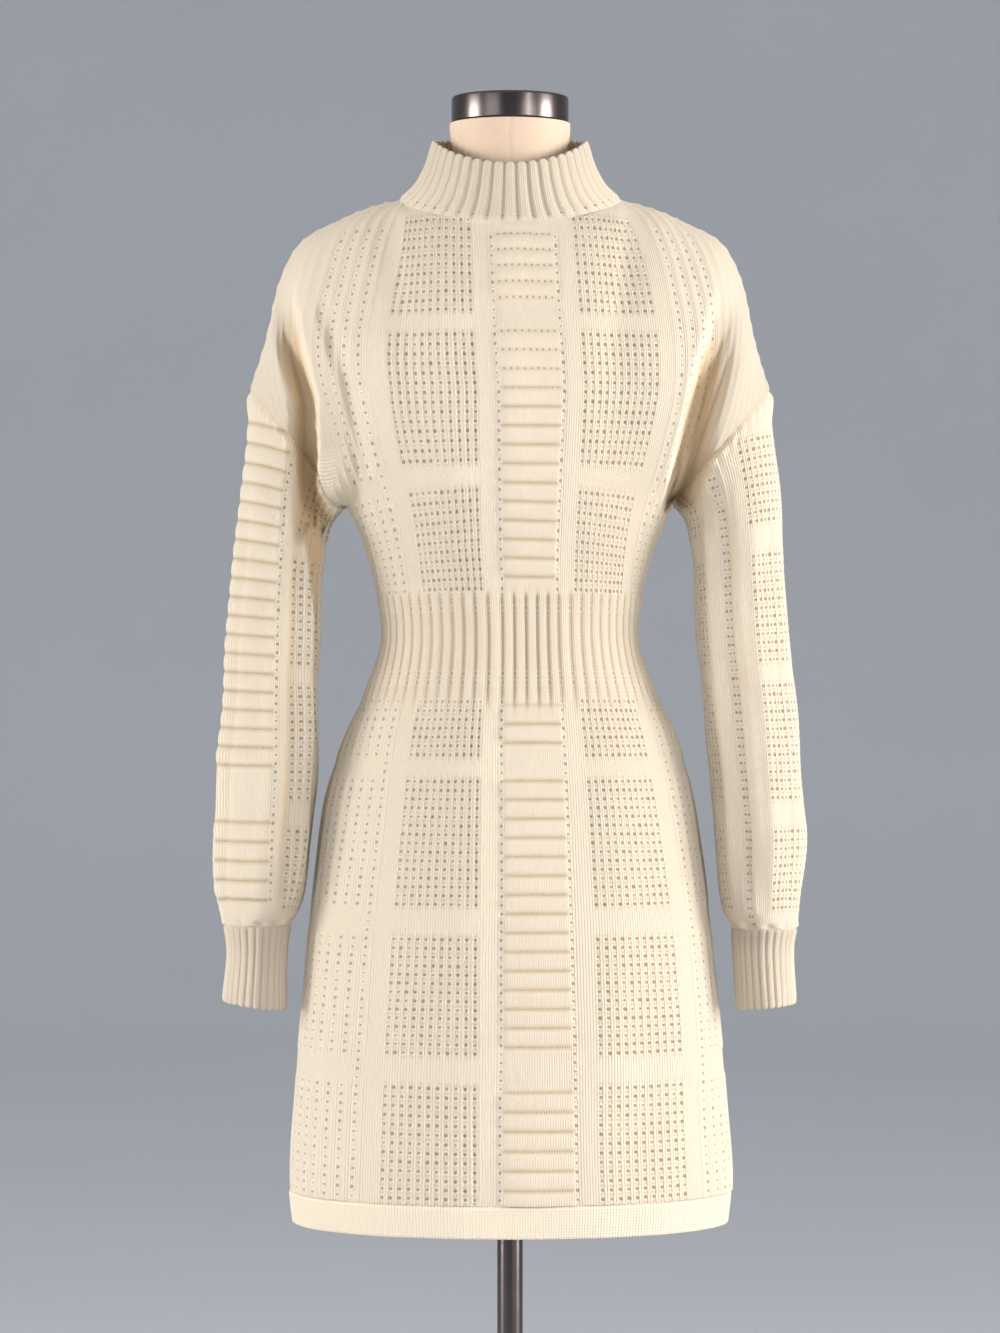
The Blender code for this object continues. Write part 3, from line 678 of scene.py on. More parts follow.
def outward(grid, closed):
    """Unit normals of a grid whose columns run to +X at the front and whose rows run up."""
    if closed:
        wide = np.concatenate([grid[:, -1:], grid, grid[:, :1]], axis=1)
        across = (wide[:, 2:] - wide[:, :-2]) / 2
    else:
        across = np.gradient(grid, axis=1)
    normals = np.cross(across, np.gradient(grid, axis=0))
    return normals / np.maximum(np.linalg.norm(normals, axis=-1, keepdims=True), 1e-12)


def lengths(grid, axis):
    """Distance walked along each row (axis 1) or column (axis 0) of a grid."""
    steps = np.linalg.norm(np.diff(grid, axis=axis), axis=-1)
    start = np.zeros_like(np.take(steps, [0], axis=axis))
    return np.concatenate([start, np.cumsum(steps, axis=axis)], axis=axis)


def wobble(a, b, size):
    """Slow waves in two directions that keep repeats from looking ruled."""
    return size * (
        np.sin(a * 1.7 + 1.3 * np.sin(b * 0.9)) + 0.7 * np.sin(b * 1.3 + 2.1 + 1.1 * np.sin(a * 0.7))
    )


def groove_heights(groups):
    """All grooves of a ladder from the lowest up."""
    return np.sort([top - place * spacing for top, count, spacing in groups for place in range(count)])


def rungs(height, grooves):
    """How puffed the ladder is at a height, and a number that is whole in each groove.

    The number runs half a unit to each side of a groove, and stays there in a wider gap.
    """
    above = np.clip(np.searchsorted(grooves, height), 1, len(grooves) - 1)
    low, high = grooves[above - 1], grooves[above]
    index = np.where(height - low < high - height, above - 1, above)
    place = index + np.clip((height - grooves[index]) / RUNG, -0.5, 0.5)
    inside = (high - low < 1.25 * RUNG) & (height > low) & (height < high)
    share = (height - low) / (high - low)
    return np.abs(np.sin(math.pi * share)) ** 0.6 * inside, place


def knit_relief(u, v, height, blocks, grooves, knit, arm=False):
    """Relief and masks of the knit from its chart.

    Blocks lie behind the plain knit, with a ridge between their eyelet columns and a lower one
    between their rows. Every eyelet is a round dimple. The ladder has puffed rungs between its
    grooves, and a shallow gutter at each edge. Outside the blocks, single eyelet lines lie in
    valleys two columns apart, with a ridge between them.
    """
    size = np.abs(u)
    near_u, near_v = np.rint(u), np.rint(v)
    count = np.abs(near_u)
    in_rows, row_mask = np.zeros(u.shape, bool), np.zeros(u.shape)
    for first, last in blocks:
        in_rows = in_rows | ((near_v >= first) & (near_v <= last))
        row_mask = np.maximum(row_mask, band(v, first, last, 0.9, 0.3))
    first, last = BLOCK_COLUMNS
    block = band(size, first, last, 0.8, 0.3) * row_mask
    outside = smoothstep(20.6, 21.2, size)
    low_chest, high_chest = CHEST_ROWS
    puff, place = rungs(height, grooves)
    in_ladder = (height > grooves[0] - 0.004) & (height < grooves[-1] + 0.004)
    ladder = smoothstep(-LADDER_COLUMN + 0.05, -LADDER_COLUMN + 0.6, -size) * in_ladder
    in_line = np.isin(count, LINE_COLUMNS) & (in_rows | (count == LINE_COLUMNS[0]))
    on_chest = np.isin(count, CHEST_LINES) & (near_v >= low_chest) & (near_v <= high_chest)
    hole = (
        ((count >= first) & (count <= last) & in_rows)
        | ((count == LADDER_COLUMN) & in_ladder)
        | (in_line & ((near_v < low_chest) | arm))
        | (on_chest & (not arm))
    ).astype(float)
    away = np.hypot((u - near_u) * knit.pitch, (v - near_v) * knit.row_pitch)
    relief = knit.strand * block * (swell(u) ** 0.8 + 0.3 * swell(v)) - knit.block_depth * block
    ridge = knit.strand * 1.1 * outside * swell(u / 2) ** 3
    if arm:
        ridge = ridge * row_mask
    else:
        ridge = ridge * np.maximum(row_mask, smoothstep(low_chest - 1, low_chest, v))
        ridge = ridge * (1 - 0.3 * smoothstep(29.0, 31.0, size) * (v > low_chest))
    relief = relief + ridge - knit.hole_depth * hole * bell(away, knit.hole_radius)
    gutter = bell(size - LADDER_COLUMN, 0.55) * in_ladder
    relief = relief + knit.puff * puff * ladder - 0.0004 * gutter
    return relief, hole, ladder, place, block


def ribs(u):
    """Rounded ribs two columns apart: a cosine flattened on top, 1 on a rib and 0 midway between two ribs."""
    wave = 0.5 + 0.5 * np.cos(math.pi * u)
    return 1 - (1 - np.clip(wave * 1.45, 0, 1)) ** 1.6


def grid_faces(rows, columns, closed):
    """Quads of a grid stored row by row."""
    wide = columns if closed else columns - 1
    place = np.arange(wide)
    beside = (place + 1) % columns
    low = (np.arange(rows - 1) * columns)[:, None]
    high = low + columns
    quads = np.stack([low + place, low + beside, high + beside, high + place], axis=-1)
    return quads.reshape(-1, 4)


def corner_values(values):
    """Values of a grid at the four corners of each quad."""
    low, high = values[:-1], values[1:]
    corners = np.stack([low[:, :-1], low[:, 1:], high[:, 1:], high[:, :-1]], axis=-2)
    return corners.reshape(-1, values.shape[-1])


def placed(name, points, faces, finish, sharp=None):
    """A smooth-shaded mesh object at the origin. Edges sharper than an angle in degrees stay."""
    mesh = bpy.data.meshes.new(name)
    mesh.from_pydata(points.reshape(-1, 3).tolist(), [], faces)
    mesh.materials.append(finish)
    mesh.shade_smooth()
    if sharp is not None:
        mesh.set_sharp_from_angle(angle=math.radians(sharp))
    made = bpy.data.objects.new(name, mesh)
    bpy.context.scene.collection.objects.link(made)
    return made


def knitted(name, grid, slot, u, v, place=None, closed=False, **masks):
    """A cloth object from a grid of points, with UV maps of the chart and one attribute a mask.

    On a closed grid, u, v and place have one column more than the points.
    """
    rows, columns = grid.shape[:2]
    made = placed(name, grid, grid_faces(rows, columns, closed).tolist(), finish_of(slot))
    mesh = made.data
    for layer, pair in (("knit", (u, v)), ("ladder", (u, v if place is None else place))):
        data = mesh.uv_layers.new(name=layer)
        corners = corner_values(np.stack(np.broadcast_arrays(*pair), axis=-1))
        data.uv.foreach_set("vector", corners.astype(np.float32).ravel())
    # Two masks carry painted shade: one for valleys and grooves, one, warmer in colour, for folds and seams
    for mask in ("hole", "rung", "valley", "warm"):
        values = np.broadcast_to(masks.get(mask, 0.0), (rows, columns)).astype(np.float32)
        mesh.attributes.new(mask, "FLOAT", "POINT").data.foreach_set("value", values.ravel())
    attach(made, "root")
    return made


class Graph:
    """Adds and links the nodes of one material."""

    def __init__(self, name):
        self.material = bpy.data.materials.new(name)
        self.material.use_nodes = True
        self.tree = self.material.node_tree
        self.shader = self.tree.nodes["Principled BSDF"]

    def add(self, kind, **settings):
        """A new node with its settings."""
        node = self.tree.nodes.new(kind)
        for key, value in settings.items():
            setattr(node, key, value)
        return node

    def put(self, value, socket):
        """A link from another node, or a plain value."""
        if isinstance(value, bpy.types.NodeSocket):
            self.tree.links.new(value, socket)
        else:
            socket.default_value = value

    def maths(self, operation, *values):
        """One step of arithmetic."""
        node = self.add("ShaderNodeMath", operation=operation)
        for value, socket in zip(values, node.inputs):
            self.put(value, socket)
        return node.outputs[0]

    def times(self, *values):
        """The product of some values."""
        found = values[0]
        for value in values[1:]:
            found = self.maths("MULTIPLY", found, value)
        return found

    def plus(self, *values):
        """The sum of some values."""
        found = values[0]
        for value in values[1:]:
            found = self.maths("ADD", found, value)
        return found

    def rest(self, value):
        """What is left of one."""
        return self.maths("SUBTRACT", 1.0, value)

    def wave(self, value):
        """A wave of the whole numbers: 1 on each, and 0 halfway between."""
        cosine = self.maths("COSINE", self.times(value, 2 * math.pi))
        return self.plus(0.5, self.times(0.5, cosine))

    def step(self, low, high, value):
        """0 below low, 1 above high and an S between."""
        node = self.add("ShaderNodeMapRange", interpolation_type="SMOOTHSTEP")
        self.put(value, node.inputs["Value"])
        node.inputs["From Min"].default_value = low
        node.inputs["From Max"].default_value = high
        return node.outputs["Result"]

    def mix(self, share, first, second):
        """A colour between two others."""
        node = self.add("ShaderNodeMix", data_type="RGBA")
        self.put(share, node.inputs[0])
        self.put(first, node.inputs[6])
        self.put(second, node.inputs[7])
        return node.outputs[2]

    def noise(self, vector, scale, detail=3.0):
        """Soft uneven clouds, about 0.5."""
        node = self.add("ShaderNodeTexNoise")
        self.put(vector, node.inputs["Vector"])
        node.inputs["Scale"].default_value = scale
        node.inputs["Detail"].default_value = detail
        return node.outputs["Fac"]

    def chart(self, layer):
        """The two coordinates of a UV map."""
        node = self.add("ShaderNodeSeparateXYZ")
        self.put(self.add("ShaderNodeUVMap", uv_map=layer).outputs[0], node.inputs[0])
        return node.outputs[0], node.outputs[1]

    def mask(self, name):
        """One of the cloth's masks."""
        return self.add("ShaderNodeAttribute", attribute_name=name).outputs["Fac"]

    def points(self):
        """Place on the object, in metres."""
        return self.add("ShaderNodeTexCoord").outputs["Object"]

    def off_middle(self, value):
        """Signed distance from the nearest whole number."""
        shifted = self.maths("FRACT", self.maths("ADD", value, 0.5))
        return self.maths("SUBTRACT", shifted, 0.5)

    def bump(self, height, strength, distance):
        """Small relief on the shader's normal."""
        node = self.add("ShaderNodeBump")
        self.put(height, node.inputs["Height"])
        node.inputs["Strength"].default_value = strength
        node.inputs["Distance"].default_value = distance
        self.put(node.outputs[0], self.shader.inputs["Normal"])

    def settle(self, **values):
        """Plain values on the shader's own sockets, named with _ for a space."""
        for key, value in values.items():
            self.shader.inputs[key.replace("_", " ")].default_value = value


def rgba(colour, share=1.0):
    """A colour with its brightness times a share, and its alpha."""
    return (*(min(1.0, share * value) for value in colour), 1.0)


def knit_finish(name, knit, colours):
    """Cotton knit: stitches as bump, eyelets dark in their middle with painted shade, grooves warmer with
    painted shade.

    A stitch is half of a V: the height is a rounded wale, cut by lines that slant away from its
    middle. Three wales make an eyelet column, and five courses an eyelet row.
    """
    graph = Graph(name)
    u, v = graph.chart("knit")
    along_u, place = graph.chart("ladder")
    points = graph.points()
    cloud, fuzz, fine = (graph.noise(points, scale) for scale in (9.0, 900.0, 160.0))
    uneven = graph.maths("SUBTRACT", fine, 0.5)

    # Eyelets: distance in millimetres from the nearest crossing of the chart, uneven from one
    # eyelet to the next, with a painted highlight on the ring of loops round each
    cell = graph.add("ShaderNodeCombineXYZ")
    graph.put(graph.maths("ROUND", u), cell.inputs[0])
    graph.put(graph.maths("ROUND", v), cell.inputs[1])
    chance = graph.add("ShaderNodeTexWhiteNoise", noise_dimensions="3D")
    graph.put(cell.outputs[0], chance.inputs["Vector"])
    du = graph.times(graph.off_middle(u), knit.pitch * 1000)
    dv = graph.times(graph.off_middle(v), knit.row_pitch * 1000)
    away = graph.maths("SQRT", graph.plus(graph.times(du, du), graph.times(dv, dv)))
    away = graph.plus(away, graph.times(chance.outputs["Value"], 0.55), -0.12)
    away = graph.plus(away, graph.times(uneven, 1.1))
    hole, warm = graph.mask("hole"), graph.mask("warm")
    eyelet = graph.times(graph.rest(graph.step(0.6, 1.65, away)), hole)
    ring = graph.times(graph.step(1.6, 2.3, away), graph.rest(graph.step(2.5, 3.6, away)))
    ring = graph.times(ring, hole, graph.rest(warm))

    # Grooves of the ladder: distance in millimetres from the nearest one, each with a line of painted shade.
    # The upper grooves have one large dot to a column, the others three small ones and streaks, all dark with
    # painted shade.
    rung = graph.mask("rung")
    groove = graph.times(graph.maths("ABSOLUTE", graph.off_middle(place)), 16.0)
    groove = graph.plus(groove, graph.times(uneven, 1.4))
    upper = graph.step(86.0, 94.0, v)
    line = graph.times(graph.rest(graph.step(0.3, 4.4, groove)), rung)
    line = graph.times(line, graph.rest(graph.times(upper, 0.75)))
    across = graph.off_middle(along_u)
    spot = graph.plus(graph.times(across, across, 50.0), graph.times(groove, groove))
    wales = graph.wave(graph.times(along_u, WALES))
    large = graph.times(graph.rest(graph.step(0.4, 2.2, spot)), upper, 0.75)
    small = graph.times(graph.rest(graph.step(0.4, 1.5, groove)), graph.step(0.4, 0.95, wales))
    small = graph.times(small, graph.rest(upper), 0.60)
    dot = graph.times(graph.plus(large, small), rung)
    streak = graph.times(wales, rung, graph.rest(graph.step(1.0, 5.0, groove)))

    # Painted shade in the valleys, with loops, one at every other course
    loops = graph.wave(graph.times(v, COURSES / 2))
    valley = graph.times(graph.mask("valley"), graph.plus(0.75, graph.times(loops, 0.5)))

    # Stitches
    wale = graph.off_middle(graph.times(u, WALES))
    round_wale = graph.maths("COSINE", graph.times(wale, math.pi))
    slant = graph.plus(graph.times(v, COURSES), graph.times(graph.maths("ABSOLUTE", wale), 1.6))
    stitch = graph.plus(graph.times(round_wale, 0.65), graph.times(graph.wave(slant), 0.5))
    # Painted shade in the gaps between the stitches
    gap_shade = graph.maths("SUBTRACT", 1.15, stitch)

    # Colour: yarn, with painted shade in the gaps between stitches, in valleys, grooves and folds,
    # a painted highlight on the loops round an eyelet, and painted shade in the eyelet itself
    shade = graph.plus(graph.times(line, 0.42), graph.times(valley, 0.62))
    shade = graph.maths("MINIMUM", shade, 1.0)
    shade = graph.plus(shade, graph.times(graph.maths("SUBTRACT", cloud, 0.5), 0.12))
    shade = graph.plus(shade, graph.times(gap_shade, 0.55), graph.times(streak, 0.22), -0.24)
    yarn = graph.mix(graph.maths("MAXIMUM", shade, 0.0), rgba(colours.yarn), rgba(colours.valley))
    yarn = graph.mix(graph.times(warm, 0.7), yarn, rgba(colours.fold_shade))
    yarn = graph.mix(graph.times(ring, 0.75), yarn, rgba(colours.loop_highlight))
    dark = graph.maths("MINIMUM", graph.plus(graph.times(eyelet, 0.88), dot), 1.0)
    colour = graph.mix(dark, yarn, rgba(colours.hole))
    graph.put(colour, graph.shader.inputs["Base Color"])

    height = graph.plus(stitch, graph.times(fuzz, 0.35), graph.times(ring, 0.7))
    low = graph.plus(graph.times(dark, 0.9), graph.times(streak, 0.8))
    graph.bump(graph.maths("SUBTRACT", height, low), 1.0, knit.stitch)
    graph.settle(
        Roughness=0.92,
        Specular_IOR_Level=0.25,
        Sheen_Weight=0.60,
        Sheen_Roughness=0.40,
        Sheen_Tint=(1.0, 0.90, 0.74, 1.0),
    )
    return graph.material


def linen_finish(name, colour):
    """Plain-woven linen: threads as crossed waves, with a slub here and there."""
    graph = Graph(name)
    points = graph.points()
    split = graph.add("ShaderNodeSeparateXYZ")
    graph.put(points, split.inputs[0])
    around = graph.maths("ARCTAN2", split.outputs[0], graph.times(split.outputs[1], -1.0))
    warp = graph.maths("COSINE", graph.times(around, 300.0))
    weft = graph.maths("COSINE", graph.times(split.outputs[2], 2 * math.pi / 0.0011))
    weave = graph.times(warp, weft)
    slub = graph.noise(points, 220.0, 4.0)
    tone = graph.plus(graph.times(weave, 0.10), graph.times(slub, 0.5))
    graph.put(graph.mix(tone, rgba(colour), rgba(colour, 0.80)), graph.shader.inputs["Base Color"])
    graph.bump(graph.plus(weave, slub), 0.5, 0.0002)
    graph.settle(Roughness=0.85, Sheen_Weight=0.1)
    return graph.material


def metal_finish(name, colour, roughness, grain):
    """Plated steel: fine turned lines as bump, with smudges in the roughness."""
    graph = Graph(name)
    points = graph.points()
    mapping = graph.add("ShaderNodeMapping")
    mapping.inputs["Scale"].default_value = grain
    graph.put(points, mapping.inputs["Vector"])
    lines = graph.noise(mapping.outputs[0], 1.0)
    smudge = graph.noise(points, 25.0)
    graph.put(graph.mix(lines, rgba(colour), rgba(colour, 1.25)), graph.shader.inputs["Base Color"])
    rough = graph.plus(roughness - 0.05, graph.times(smudge, 0.10))
    graph.put(rough, graph.shader.inputs["Roughness"])
    graph.bump(lines, 0.12, 0.0001)
    graph.settle(Metallic=1.0)
    return graph.material


def finish_of(name):
    """The named material, made the first time it is asked for."""
    found = bpy.data.materials.get("dress_" + name)
    if found:
        return found
    scene = bpy.context.scene
    knit, colours = scene.dress_knit, scene.dress_colours
    if name in ("knit", "rib"):
        made = knit_finish(name, knit, colours)
    elif name == "linen":
        made = linen_finish(name, colours.linen)
    elif name == "gunmetal":
        made = metal_finish(name, colours.gunmetal, 0.24, (40.0, 40.0, 2500.0))
    else:
        made = metal_finish(name, colours.base_steel, 0.42, (60.0, 60.0, 60.0))
    made.name = "dress_" + name
    return made


def body_chart(grid, face, knit):
    """U, V and the height they follow, for a body panel whose columns run to +X on the front and
    to -X on the back.

    U grows with the distance walked from the ladder's middle, times how closely the columns lie
    at that height. V follows the height, which droops a little towards the sides of the bust.
    """
    height = grid[..., 2]
    walked = lengths(grid, 1)
    offset = np.interp(np.median(height, axis=1), *np.array(LADDER_MIDDLE).T)
    if face > 0:
        offset = np.full(len(grid), BACK_LADDER_X)
    order = -face
    middle = np.array(
        [np.interp(at, row[::order, 0], step[::order]) for at, row, step in zip(offset, grid, walked)]
    )
    away = (walked - middle[:, None]) * order
    knots = column(SPREAD_COLUMNS, SPREAD, "height")
    level = np.clip(height, knots[0], knots[-1])
    right, left, five, eight = (
        through(knots, column(SPREAD_COLUMNS, SPREAD, name), level) for name in SPREAD_COLUMNS[1:]
    )
    pitches = np.abs(away) * np.where(away < 0, right, left) / knit.pitch
    first, last = BLOCK_COLUMNS
    beside = LADDER_COLUMN + (pitches - five) * (first - LADDER_COLUMN) / (eight - five)
    block = first + (pitches - eight) * (last - first) / (last - eight)
    inner = pitches * LADDER_COLUMN / five
    size = np.select([pitches < five, pitches < eight, pitches < last], [inner, beside, block], pitches)
    u = np.sign(away) * size
    droop = 0.8 * grid[..., 0] ** 2 * bell(height - 1.22, 0.05)
    level = height + droop
    v = np.interp(level, *np.array(ROWS).T)
    return u, v, level


def rib_fade(height):
    """How strongly the waist's ribs show at a height: full in the rib, gone a little beyond it."""
    below = smoothstep(RIB_LOW - 0.030, RIB_LOW + 0.004, height)
    return below * smoothstep(-RIB_HIGH - 0.010, -RIB_HIGH + 0.001, -height)


def jittered(u, v, grid):
    """The chart with eyelets a little off their places."""
    x, z = grid[..., 0], grid[..., 2]
    return u + wobble(x * 31, z * 27, 0.035), v + wobble(z * 29, x * 33, 0.035)


def body_panel(name, grid, across, up, face, knit):
    """Charts a body panel, gives it its relief and folds, and makes the object.

    up is None for a skirt, which has no creases or shoulder seam.
    """
    u, v, level = body_chart(grid, face, knit)
    jitter_u, jitter_v = jittered(u, v, grid)
    relief, hole, rung, place, block = knit_relief(
        jitter_u, jitter_v, level, BLOCK_ROWS, groove_heights(GROOVES), knit
    )
    x, z = grid[..., 0], grid[..., 2]
    fade = rib_fade(z)
    rib = ribs(u)
    walked, climbed = lengths(grid, 1), lengths(grid, 0)
    to_side = np.minimum(walked, walked[:, -1:] - walked)
    to_top = climbed[-1:] - climbed
    clear = smoothstep(0.001, 0.006, to_side)
    relief = relief * (1 - fade) + fade * knit.rib * (rib - RIB_MIDDLE)
    # Slow unevenness, and the side seam's groove
    relief = relief * clear + wobble(x * 45, z * 38, 0.0003) * clear
    relief = relief + wobble(x * 60, z * 6, 0.0008) * clear * (1 - fade)
    relief = relief - 0.0008 * bell(to_side, 0.0022)
    warmth = 0.0
    if up is not None:
        # The shoulder seam: a ridge and a groove below it
        on_shoulder = smoothstep(NECK_SHARE, NECK_SHARE + 0.03, np.abs(across))[None, :]
        seam = 0.0012 * bell(to_top - 0.005, 0.0022) - 0.0006 * bell(to_top - 0.010, 0.002)
        relief = relief * smoothstep(0.0, 0.004, to_top) + on_shoulder * seam
        if face < 0:
            grid, warmth = creased(grid)
            grid[1:-1, 1:-1] = softened(softened(grid, 1.5, 1), 1.5, 0)[1:-1, 1:-1]
        else:
            grid = folded(grid, across, up, BACK_FOLDS)
    # Painted shade in the ribs' valleys and between a block's eyelet columns, and warmer painted shade in the
    # creases and along the side seam
    valley = 1.2 * fade * (1 - rib) ** 1.4 + 0.75 * block * (1 - swell(u)) * (1 - fade)
    return knitted(
        name,
        grid + outward(grid, False) * relief[..., None],
        "knit",
        jitter_u,
        jitter_v,
        place,
        hole=hole * (1 - smoothstep(0.5, 0.9, fade)) * clear,
        rung=rung * (1 - fade),
        valley=np.clip(valley * clear, 0, 1),
        warm=np.clip(warmth + 0.45 * bell(to_side, 0.0018), 0, MOST_WARM_SHADE),
    )


def build_bodice(face, place, columns, rows_low, rows_up):
    """A bodice panel."""
    knit = bpy.context.scene.dress_knit
    shoulder = np.linspace(NECK_SHARE, 1, int(columns * 0.32) + 1)
    neck = np.linspace(-NECK_SHARE, NECK_SHARE, 2 * int(columns * 0.18) + 1)
    across = np.concatenate([-shoulder[:0:-1], neck, shoulder[1:]])
    across[len(across) // 2] = 0.0
    grid, up = bodice_base(across, rows_low, rows_up, face)
    if face > 0:
        grid, across = grid[:, ::-1], across[::-1]
    return body_panel(f"bodice_{place}", grid, across, up, face, knit)


def build_skirt(face, place, columns, rows):
    """A skirt panel from the hem to the waist rib."""
    knit = bpy.context.scene.dress_knit
    across = np.linspace(-1, 1, columns + 1) * (1 if face < 0 else -1)
    heights = np.linspace(HEM_HIGH, RIB_LOW, rows + 1)
    grid = body_rings(across, heights, face)
    return body_panel(f"skirt_{place}", grid, across, None, face, knit)


def body_tube(columns, heights, knit):
    """Whole rings of the body, from the wearer's right over the front to the left and back, with
    their U and V, which have one more column."""
    across = np.linspace(-1, 1, columns + 1)
    front = body_rings(across, heights, -1)
    back = body_rings(across[::-1], heights, 1)
    u_front, v_front, _ = body_chart(front, -1, knit)
    u_back, v_back, _ = body_chart(back, 1, knit)
    grid = np.concatenate([front[:, :-1], back[:, :-1]], axis=1)
    u = np.concatenate([u_front[:, :-1], u_back], axis=1)
    return grid, u, np.concatenate([v_front[:, :-1], v_back], axis=1)


def build_waist(columns, rows):
    """The waist rib, a tube: ribs two columns apart, with eyelets in the valleys of some rows."""
    knit = bpy.context.scene.dress_knit
    grid, u, v = body_tube(columns, np.linspace(RIB_LOW, RIB_HIGH, rows + 1), knit)
    at_u, at_v = np.rint(u[:, :-1]), np.rint(v[:, :-1])
    rib = ribs(u[:, :-1])
    relief = knit.rib * (rib - RIB_MIDDLE)
    return knitted(
        "waist_rib",
        grid + outward(grid, True) * relief[..., None],
        "rib",
        u,
        v,
        closed=True,
        # Painted shade in the valleys between the ribs
        valley=1.2 * (1 - rib) ** 1.4,
        hole=0.5 * (at_u % 2 == 1) * np.isin(at_v, WAIST_ROWS),
    )


def rolled(points, normals, thickness, depth, steps=5):
    """Rows over an edge and down the inside: half a circle of the cloth's thickness, then a
    straight inner wall."""
    edge, out = points[-1], normals[-1]
    rise = points[-1] - points[-3]
    rise = rise / np.linalg.norm(rise, axis=-1, keepdims=True)
    turn = np.linspace(0, math.pi, steps + 1)[1:, None, None]
    radius = thickness / 2
    middle = edge - out * radius
    arc = middle + out * radius * np.cos(turn) + rise * radius * np.sin(turn)
    count = max(2, int(depth / 0.003))
    inner = points[-2 : -2 - count : -1] - normals[-2 : -2 - count : -1] * thickness
    return np.concatenate([points, arc, inner])


def build_hem(columns, rows):
    """The turned hem: outside, over the lower edge and up the inside."""
    knit = bpy.context.scene.dress_knit
    heights = np.linspace(HEM_HIGH, HEM_LOW + WALL / 2, rows + 1)
    grid, u, _ = body_tube(columns, heights, knit)
    normals = outward(grid[::-1], True)[::-1]
    height = grid[..., 2]
    relief = 0.0011 * smoothstep(HEM_HIGH, HEM_HIGH - 0.003, height)
    relief = relief - 0.0006 * bell(height - HEM_HIGH, 0.0012)
    relief = relief + 0.00012 * np.cos(2 * math.pi * u[:, :-1])
    relief = relief + wobble(grid[..., 0] * 60, grid[..., 1] * 60, 0.0003)
    points = rolled(grid + normals * relief[..., None], normals, WALL, 0.03)[::-1]
    u = np.broadcast_to(u[:1], (len(points), u.shape[1]))
    v = np.interp(points[:, 0, 2], *np.array(ROWS).T) + np.linspace(0, -4, len(points))
    # Painted shade in the groove along the top of the hem
    valley = 0.5 * bell(points[..., 2] - HEM_HIGH, 0.0014)
    return knitted("hem", points, "rib", u, v[:, None], closed=True, valley=valley)


def build_sleeve(name, table, side, columns, rows):
    """A sleeve from its cuff up to the armhole. A column follows one wale down the arm.

    The chart has one column more than the points, as the tube is closed.
    """
    knit = bpy.context.scene.dress_knit
    start, turn, groups = SLEEVE_CHART[name]
    grooves = groove_heights(groups)
    share = np.linspace(1, 0, rows + 1)
    down = share[:, None]
    steps = np.linspace(0, 2 * math.pi, columns + 1)
    around = start + turn * down - math.pi + steps[None, :-1]
    grid = sleeve_rings(table, around, share)
    grid[..., 0] *= side
    knots = np.linspace(0, 1, len(table))
    outer, inner = (
        through(knots, column(SLEEVE_COLUMNS, table, key), share) for key in ("outer_z", "inner_z")
    )
    level = ((outer + inner) / 2)[:, None]
    u = (math.pi - steps)[None, :] * SLEEVE_RADIUS * 1.05 / knit.pitch + 0 * level
    # The rows hang between level rings and the slanting ones of the armhole
    hung = 0.35 * level + 0.65 * np.concatenate([grid[..., 2], grid[:, :1, 2]], axis=1)
    v = (SLEEVE_TOP - hung) / SLEEVE_ROW
    blocks = [
        (round((SLEEVE_TOP - top) / SLEEVE_ROW), round((SLEEVE_TOP - low) / SLEEVE_ROW))
        for top, low in SLEEVE_BLOCKS
    ]
    points_u = u[:, :-1]
    relief, hole, rung, _, block = knit_relief(
        points_u, v[:, :-1], hung[:, :-1], blocks, grooves, knit, arm=True
    )
    _, place = rungs(hung, grooves)
    phi = np.mod(around, 2 * math.pi)
    creases = sleeve_creases(name, phi, down)
    seam = down * SLEEVE_LENGTH
    relief = relief + creases + wobble(phi * 3, down * 26, 0.0006)
    relief = relief * smoothstep(0.0, 0.006, seam)
    # The armhole seam: a groove and a ridge, small puckers, and fullness over the shoulder
    relief = relief - 0.0008 * bell(seam, 0.0022) + 0.0007 * bell(seam - 0.006, 0.003)
    relief = relief + 0.0008 * np.sin(phi * 30) * bell(seam - 0.008, 0.006)
    relief = relief + 0.0025 * bell(phi - math.pi, 0.30) * bell(seam - 0.012, 0.009)
    # Gathers over the cuff
    relief = relief + 0.0018 * np.sin(points_u * math.pi * 0.5) * bell(down - 0.985, 0.03)
    relief = relief * smoothstep(-1.0, -0.985, -down)
    deep = smoothstep(0.0015, 0.006, -creases)
    if side < 0:
        # A mirrored sleeve runs round the other way, so that its faces still point outwards. The
        # chart's extra column has to follow its last point.
        grid, relief, hole, rung, block, deep, points_u = (
            item[:, ::-1] for item in (grid, relief, hole, rung, block, deep, points_u)
        )
        u, v, place = (
            np.concatenate([item[:, -2::-1], item[:, -2:-1]], axis=1) for item in (u, v, place)
        )
        u[:, -1] = 2 * u[:, -2] - u[:, -3]
    # The last ring stands a little over the armhole's edge
    run, rise = np.array(SHOULDER[-1]) - np.array(UNDERARM)
    grid[-1] += 0.001 * np.array([-side * rise, 0.0, run]) / math.hypot(run, rise)
    shaped = grid + outward(grid, True) * relief[..., None]
    points, warmth = creased(shaped, smoothstep(0.004, 0.030, seam))
    return knitted(
        name,
        points,
        "knit",
        u,
        v,
        place,
        closed=True,
        hole=hole * smoothstep(0.008, 0.022, seam),
        rung=rung,
        # Painted shade between a block's eyelet columns, and warmer painted shade along the armhole seam, in
        # the deep folds and in the creases
        valley=0.75 * block * (1 - swell(points_u)),
        warm=np.clip(0.45 * bell(seam, 0.0018) + 0.4 * deep + warmth, 0, MOST_WARM_SHADE),
    )


